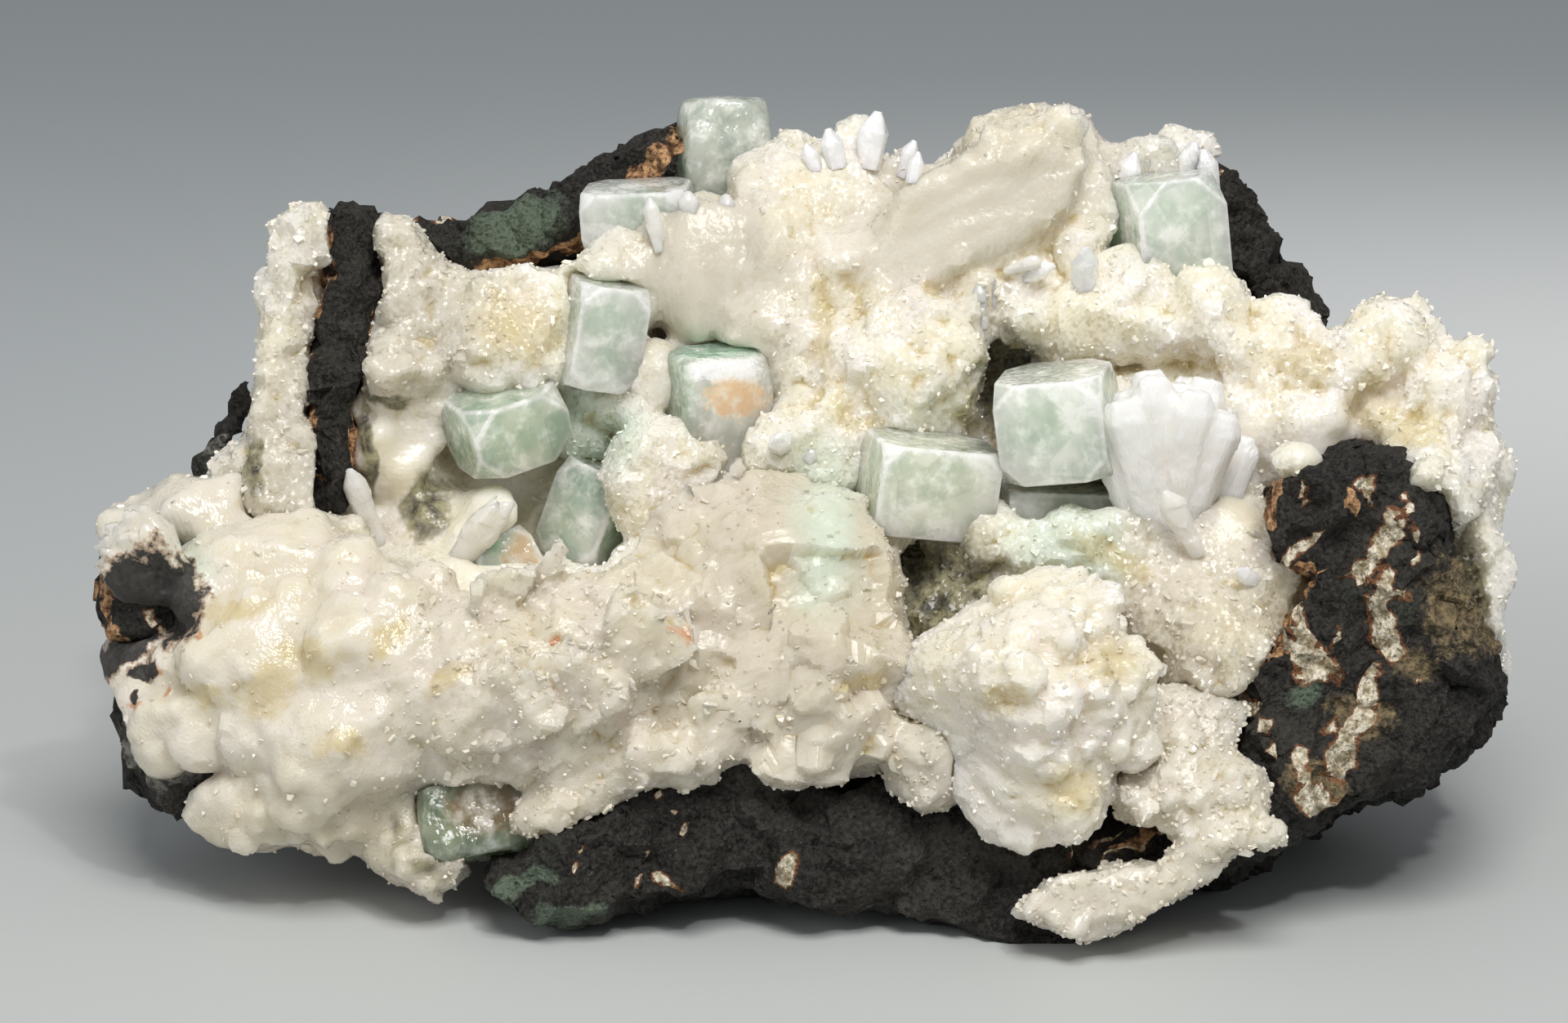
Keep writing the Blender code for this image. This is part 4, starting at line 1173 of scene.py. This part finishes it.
def make_crust():
    crust = fine_skin("stilbite_druse", "stilbite_crust", 0.73, 3, crust_forms())
    points = points_of(crust)
    places = warped(points, 1.5, 5, 16)
    smooth = spots(places, SMOOTH_SPOTS) ** 2
    sugar = np.clip(1 - 1.8 * smooth, 0.05, 1)
    swell(crust, 0.15 + grain(points, 5, 11) * 0.25 * sugar + grain(points, 2.0, 12) * 0.15 * sugar)
    swell(crust, ribs(points, (-9, 48, -4), 26, 15) * 0.3 * spots(places, SLAB))
    swell(crust, ribs(points, (-40, 50, -1), 60, 16) * 0.3 * spots(places, BARREL))
    facet(crust, 3.4, 15, 13, 0.8 * sugar, 0.8)
    facet(crust, 1.5, 12, 14, 0.6 * sugar, 0.3)
    # These masks include dark dirt with painted shadow, and painted shade
    masks = {
        "sugar": sugar,
        "hollow": hollows(crust),
        "stain": spots(places, STAIN_SPOTS),
        "dirt_and_shadow": spots(places, DIRT_AND_SHADOW_SPOTS, -30),
        "cool": spots(places, COOL_SPOTS),
        "mint": spots(places, MINT_SPOTS),
        "painted_shade": np.clip(spots(places, PAINTED_SHADE_SPOTS) * 0.8, 0, 0.5),
    }
    dress_skin(crust, masks, crust_white, "stilbite_crust", slot="stilbite_crust")
    small = strew("druse_crystals", crust, 6000, sugar**2, 0.62, 17)
    dress(small, loose_white, slot="stilbite_crust")
    return crust


crust = make_crust()

# %% [markdown]
# ## The long blades
#
# A bright leaf of pointed blades stands before the hollow at the left, and a few larger blades lie
# across the crust. They are smoother than the crust, so they are a skin of their own: plain blades
# melted together in small squares, with wide, faint facets.

# %% The long blades


def make_long_blades():
    heap = Heap(136)
    ends = {"tip": 0.25, "tip_share": 0.35}
    heap.sheaf((-38.8, 33, 3.5), 13.5, (18, 4, -38), (6, 4), (4, 2), (2.6, 2.2), **ends)
    for (right, up), size, turn in CRUST_BLADES:
        heap.blade((right, up, out_at("stilbite_crust", right, up) + 0.5), size, turn)
    blades = heap.alone("long_blades")
    melted(blades, 0.28, 5)
    swell(blades, grain(points_of(blades), 3, 137) * 0.12)
    facet(blades, 2.6, 4, 138, 0.5, 0.3)
    # Painted shade darkens all the blades a little
    masks = {"sugar": 0.15, "hollow": hollows(blades), "painted_shade": 0.3}
    dress_skin(blades, masks, blade_white, slot="stilbite", angle=25)
    print("long blades", len(blades.data.polygons), "squares")


make_long_blades()

# %% [markdown]
# ## The front sheaves
#
# The long swell across the front is a row of sheaves grown into each other: lumpy at the left, and
# with fine satin ribs at the right. Its sheaves share one skin, so that they run into each other,
# and masks say where it is lumpy, where it is ribbed and where broad flat faces show.

# %% The front sheaves
# Marks on the front: stained, rusty, and bare rock
FRONT_STAINS = [
    (-65, 20, 2.4, 1.4), (-58, 21, 4, 2.6, 20), (-54, 24, 4, 2, -20), (-45, 26, 3.6, 1.6, 30),
    (-50, 14.5, 3, 1.6), (-38, 22, 3, 1, 40), (8, 22, 2.5, 1.2), (-62, 30, 5, 1.5, 15),
]
FRONT_RUST = [
    (-13, 28, 0.9, 1.1), (-26, 26.5, 0.6, 0.7), (-72, 23, 0.9, 0.6, 30), (-70, 20.5, 0.6, 0.8),
    (-66, 27, 0.6, 0.4), (-73.5, 18.5, 0.9, 0.5),
]
FRONT_ROCK = [
    (-71, 31.5, 5.4, 5.6, 15), (-74.5, 26, 2.2, 3.4, -20), (-76.6, 24.2, 1.0, 1.8),
    (-72.4, 22.4, 0.6, 1.2), (-73.6, 19.4, 0.5, 0.7), (-75.8, 21.6, 0.5, 0.9),
]
# The line along which small blades stand up, and how many to each stretch of it
CREST = [(-36, 32.5), (-30, 34.5), (-25, 38), (-19, 42), (-14, 45), (-8, 47)]
CREST_BLADES = 9
FRONT_KNOBS = [
    (34, (-70, -40, 8, 35), (6.0, 11.0), 0.84),
    (50, (-62, -36, -2, 8), (1.6, 3.6), 0.35),
    (40, (-20, 12, 10, 22), (2.0, 5.0), 0.35),
]
# Place, length and turn of the sheaves whose blades can be told apart
FRONT_SHEAVES = [
    (-36, 14, 15, (20, 0, -42)), (-27, 15, 14, (22, 0, -32)), (-20, 21, 13, (22, 5, -30)),
    (-66, 30, 14, (12, -20, 48)), (-69, 36, 9, (8, -10, 55)), (2, 14, 9, (25, 0, -20)),
    (-6, 14, 9, (25, 0, 15)),
]
# The lumpy part ends here, and fades out over so many millimetres
LUMPY_END = -36
LUMPY_FADE = 12
# Where broad flat faces take the place of the grain
SMOOTH_MIDDLE = [(0, 34, 9, 13), (-12, 36, 5, 9), (4, 16, 7, 5)]


def front_forms():
    heap = Heap(141)
    node = "front_sheaves"
    heap.knobs(node, FRONT_KNOBS)
    jitter = heap.chance.uniform
    for start, end in zip(CREST, CREST[1:]):
        for step in range(CREST_BLADES):
            share = (step + jitter(0, 1)) / CREST_BLADES
            right = start[0] + (end[0] - start[0]) * share
            up = start[1] + (end[1] - start[1]) * share - jitter(2.5, 4.5)
            out = out_at(node, right, up, None)
            if out is None:
                continue
            turn = (jitter(-25, 35), jitter(-40, 40), jitter(-45, 15))
            size = (jitter(1.2, 2.4), jitter(3.5, 6.0), jitter(0.9, 1.4))
            heap.blade((right, up, out - 0.8), size, turn)
    for right, up, length, turn in FRONT_SHEAVES:
        out = out_at(node, right, up)
        heap.sheaf((right, up, out - 1.5), length, turn, (20, 10), (6, 3), (3.0, 2.2))
    return heap


def make_front():
    front = fine_skin("front_sheaf_skin", "front_sheaves", 0.5, 3, front_forms())
    points = points_of(front)
    places = warped(points, 1.6, 6, 26)
    left = np.clip((LUMPY_END - places[:, 0]) / LUMPY_FADE, 0, 1)
    middle = spots(places, SMOOTH_MIDDLE)
    lumps = grain(points, 6, 21) * (0.3 + 0.25 * left)
    satin = ribs(points, (-52, 2, -6), 48, 22) * 0.4 * (1 - left)
    swell(front, 0.2 + lumps + satin + grain(points, 1.8, 23) * 0.16 * (1 - 0.6 * left))
    facet(front, 7, 12, 27, np.clip(middle * 1.6, 0, 0.9), 1.4)
    facet(front, 3.4, 12, 24, 0.6 - 0.45 * left, 0.7)
    facet(front, 2.2, 9, 29, 0.5 * left, 0.3)
    facet(front, 1.4, 9, 25, 0.4 * (1 - left), 0.25)
    # Painted shade on the front: a little everywhere, more towards the right, and most in two
    # spots, at the lower left and in the middle
    shade = spots(places, [(-50, 4, 16, 6), (4, 34, 10, 14)])
    masks = {
        "sugar": 0.25 - 0.1 * middle - 0.15 * left,
        "gloss": left * 0.7,
        "painted_shade": 0.32 + 0.14 * (1 - left) + 0.3 * shade,
        "hollow": hollows(front),
        "stain": spots(places, FRONT_STAINS),
        "rust": spots(places, FRONT_RUST),
        "rock": spots(places, FRONT_ROCK),
        # Dark marks at the foot of the swell: dirt with painted shadow
        "dirt_and_shadow": spots(places, [(-41, 1.5, 4, 2), (-44, 5, 2, 3)]) * 0.6,
        "cool": spots(places, [(-72, 40, 9, 5, 20), (4, 16, 6, 4)]) * 0.8,
        "mint": spots(places, [(4, 38, 4, 9), (-68, 34, 4, 4)]) * 0.8,
    }
    dress_skin(front, masks, front_white, "front_sheaves", slot="stilbite")
    keep = (1 - middle) * (painted_on(front, "rock") < 0.3)
    small = strew("front_crystals", front, 1800, keep * (1.2 - left), 0.6, 28)
    dress(small, loose_white, slot="stilbite")
    return front


front = make_front()

# %% [markdown]
# ## The single sheaves
#
# Three sheaves at the right keep their own shape: a wedge that ends in a point below, a rough ledge
# on the block, and the white fan beside the largest crystal. One function makes all three. The fan
# alone is made of smooth blades, and the others are covered in knobs.

# %% The single sheaves


def make_sheaf(name, node, square, foot, ribbing, seed, marks, finish, forms, rough=1.0, painted_shade=0.0):
    """Ribbing is how fine and how deep the ribs are, rough is 0 for a sheaf of smooth blades, and
    the last argument is how much painted shade darkens its colour."""
    sheaf = fine_skin(name, node, square, 3, forms)
    points = points_of(sheaf)
    lines = ribs(points, foot, ribbing[0], seed, 0.05) * ribbing[1]
    swell(sheaf, 0.15 + lines + grain(points, 1.6, seed + 1) * 0.12 * rough)
    facet(sheaf, 2.4, 13, seed + 2, 0.6 * rough, 0.5)
    masks = {
        "sugar": 0.3 * rough,
        "gloss": 0.6 * (1 - rough),
        "painted_shade": painted_shade,
        "hollow": hollows(sheaf),
        "stain": spots(on_side(points), marks),
    }
    dress_skin(sheaf, masks, finish, node, slot="stilbite")
    return sheaf


def knobs_on(node, seed, rows):
    heap = Heap(seed)
    heap.knobs(node, rows)
    return heap


def fan_forms():
    heap = Heap(181)
    out = out_at("bow_tie_sheaf", 42, 44)
    ends = {"foot": 0.5, "tip": 0.55, "tip_share": 0.1}
    heap.sheaf((41.6, 33, out - 3), 25, (14, -6, 1), (19, 8), (6, 2), (5.4, 3.4), **ends)
    heap.sheaf((46.5, 34, out - 4), 19, (10, -26, -10), (5, 4), (2, 1), (4.4, 2.6), **ends)
    return heap


WEDGE_KNOBS = [(40, (25, 43, 14, 32), (2.4, 5.6), 0.35), (30, (20, 42, 22, 32), (1.6, 3.0), 0.2)]
WEDGE_STAINS = [(36, 24, 3.5, 2.5), (32, 10, 3, 3), (24, 20, 3, 2)]
LEDGE_KNOBS = [(90, (36, 57, 4, 32), (2.0, 4.6), 0.3), (30, (18, 52, -8, 6), (1.6, 3.4), 0.3)]
# The wedge and the ledge are darkened by painted shade, the ledge the most
wedge = make_sheaf(
    "wedge_sheaf_skin", "wedge_sheaf", 0.4, (11, 22, 19), (26, 0.4), 31, WEDGE_STAINS,
    wedge_white, knobs_on("wedge_sheaf", 161, WEDGE_KNOBS), painted_shade=0.12,
)
ledge = make_sheaf(
    "ledge_sheaf_skin", "ledge_sheaf", 0.42, (60, 30, 10), (30, 0.4), 41, [],
    ledge_white, knobs_on("ledge_sheaf", 171, LEDGE_KNOBS), painted_shade=0.4,
)
fan = make_sheaf(
    "bow_tie_skin", "bow_tie_sheaf", 0.3, (43, 32, 6), (34, 0.14), 51, [],
    fan_white, fan_forms(), rough=0.25,
)
for carrier, name, count, seed in (
    (wedge, "wedge_crystals", 400, 191),
    (ledge, "ledge_crystals", 900, 192),
):
    small = strew(name, carrier, count, np.ones(len(carrier.data.vertices)), 0.62, seed)
    dress(small, loose_white, slot="stilbite")

# %% [markdown]
# ## The clear crystals
#
# Apophyllite makes blocky square prisms with cut corners. Each solid gets narrow rounded edges
# and a rim on each face that is painted brighter, as edges catch the light. Three that are worn
# are melted to a softer form. All get the finish of clear mineral.

# %% The clear crystals
CRYSTALS = [name for name in sorted(nodes) if name.endswith("_crystal")]
# Millimetres: the rounding of the edges, the width of the bright rim, and the smallest face that
# has one
CRYSTAL_BEVEL = 0.16
BRIGHT_EDGE = 0.5
BROAD_FACE = 1.5
WORN_BEVEL = 0.9
WORN = ("top_crystal", "under_crystal", "heart_crystal")


def make_crystal(node, seed):
    mesh = bmesh.new()
    mesh.from_mesh(nodes[node].data)
    bmesh.ops.remove_doubles(mesh, verts=mesh.verts, dist=1e-6)
    bmesh.ops.dissolve_limit(mesh, angle_limit=0.02, verts=mesh.verts, edges=mesh.edges)
    bevel = (WORN_BEVEL if node in WORN else CRYSTAL_BEVEL) * MM
    bmesh.ops.bevel(mesh, geom=mesh.edges[:], offset=bevel, segments=2, affect="EDGES", profile=0.6)
    broad = [face for face in mesh.faces if face.calc_area() > (BROAD_FACE * MM) ** 2]
    bmesh.ops.inset_individual(mesh, faces=broad, thickness=BRIGHT_EDGE * MM)
    inner = {vertex for face in broad for vertex in face.verts}
    edge = [0.0 if vertex in inner else 1.0 for vertex in mesh.verts]
    piece = new_piece(node + "_clear", mesh)
    if node in WORN:
        melted(piece, 0.3, 4)
        swell(piece, 0.15 + grain(points_of(piece), 4, seed, 2) * 0.3)
    else:
        swell(piece, 0.12)
        paint(piece, "edge", edge)
    crisp(piece, 20)
    dress(piece, crystal_finishes.get(node, clear_green), node, slot="apophyllite")
    return piece


crystals = {node: make_crystal(node, 60 + index) for index, node in enumerate(CRYSTALS)}
print("crystals:", len(crystals), "squares", sum(len(c.data.polygons) for c in crystals.values()))

# %% [markdown]
# ## Single clear tips
#
# A few small prisms stand by themselves on the top edge and in the crust, glassy enough to catch
# the light. They are plain blades with pointed ends in a clear finish.

# %% Single clear tips
# Place, size and turn
TIPS = [
    ((8.6, 79.5), (3.6, 6.5, 3.0), (10, 20, -12)), ((5.4, 79.5), (2.6, 4.6, 2.4), (12, 0, 14)),
    ((12.4, 78.5), (2.2, 4.4, 2.0), (8, 0, -22)), ((13.8, 77.8), (1.8, 3.6, 1.6), (8, 0, -10)),
    ((3.0, 79.0), (2.0, 3.4, 2.0), (10, 0, 20)), ((37, 76.5), (3.0, 5.0, 3.0), (10, 0, -20)),
    ((40.5, 77.0), (3.2, 5.4, 3.0), (10, 30, 10)), ((44, 77.0), (3.4, 5.6, 3.0), (12, 10, -14)),
    ((47, 76.5), (3.0, 5.2, 3.0), (12, 0, 8)), ((33, 66.0), (3.2, 5.6, 2.2), (38, 10, 0)),
    ((-0.8, 48.2), (3.2, 3.4, 2.4), (70, 10, 20)), ((1.8, 46.4), (2.4, 3.0, 2.0), (60, -10, -30)),
    ((23.4, 61.0), (1.8, 6.5, 1.5), (25, 10, 6)), ((26.0, 67.2), (2.0, 4.4, 1.8), (30, 0, -70)),
    ((-13, 28.5), (1.4, 2.2, 1.2), (50, 0, 0)), ((52.5, 33.0), (2.0, 4.0, 1.6), (40, 0, 60)),
]


# A tip with nothing behind it is found nowhere, and stands this far out, behind the top edge
NOWHERE = -40.0
BEHIND_EDGE = -8.0


def make_tips():
    heap = Heap()
    carriers = ("stilbite_crust", "front_sheaves")
    for (right, up), size, turn in TIPS:
        out = max(out_at(node, right, up, NOWHERE) for node in carriers)
        out = out if out > NOWHERE else BEHIND_EDGE
        heap.blade((right, up, out - 0.6), size, turn, foot=0.9, tip=0.25, tip_share=0.35)
    tips = heap.alone("clear_tips")
    crisp(tips, 20)
    tint = (0.92, 0.96, 0.92, 1)
    clear = apophyllite_finish("clear_tip", tint, 4, 0.75, "F6F7F3", "FCFCFA", glow=0.002)
    dress(tips, clear, slot="apophyllite")
    return tips


tips = make_tips()

# %% [markdown]
# ## Floor and light
#
# The specimen stands on a pale table that reaches as far as the picture does, with light and shade
# painted on it. A large soft light stands in front, above and to the right, and a weaker one at the
# left opens the shadows.

# %% Floor and light


def make_floor():
    """A table with painted light and shade: darker at the left than at the right, darker in front
    of and under the specimen, and darker again far behind it.
    """
    mesh = bmesh.new()
    bmesh.ops.create_grid(mesh, x_segments=1, y_segments=1, size=4)
    floor = new_piece("table", mesh)
    f = Finish("table")
    # Painted light and shade: lighter towards the right, darker in front of and under the specimen,
    # and darker far behind it
    across = f.node("SeparateXYZ", {}, {0: f.place}, outlet="X")
    back = f.node("SeparateXYZ", {}, {0: f.place}, outlet="Y")
    middle = f.blend(across.step(-0.14, 0.16), "BFC4C6", "F0F2F2")
    body = f.blend(back.step(0.02, 0.26), "BEC1C0", middle)
    body = f.blend(back.step(0.24, 0.56), body, "B4BABC")
    shader = f.surface(base_color=body, roughness=0.6)
    floor.data.materials.append(f.finish(shader))


# Name, place in metres, size across, power in watts and colour
LAMPS = (
    ("key", (0.06, -0.42, 0.75), 0.45, 5.3, (1, 0.98, 0.95)),
    ("spark", (0.2, -0.5, 0.62), 0.05, 1.0, (1, 1, 1)),
    ("fill", (-0.6, -0.5, 0.35), 0.5, 1.1, (0.95, 0.97, 1)),
)
LAMP_AIM = Vector((0, 0, 0.04))
SKY = (0.9, 0.93, 0.96, 1)
SKY_STRENGTH = 0.3


def light_scene():
    world = bpy.data.worlds.new("studio")
    world.use_nodes = True
    sky = world.node_tree.nodes["Background"]
    sky.inputs["Color"].default_value = SKY
    sky.inputs["Strength"].default_value = SKY_STRENGTH
    bpy.context.scene.world = world
    bpy.context.scene.view_settings.view_transform = "Standard"
    for name, place, size, power, colour in LAMPS:
        data = bpy.data.lights.new(name, "AREA")
        data.shape = "DISK"
        data.size = size
        data.energy = power
        data.color = colour
        lamp = linked(name, data)
        lamp.location = place
        lamp.rotation_mode = "QUATERNION"
        lamp.rotation_quaternion = (LAMP_AIM - Vector(place)).to_track_quat("-Z", "Y")


make_floor()
light_scene()
print("lamps:", len(LAMPS))
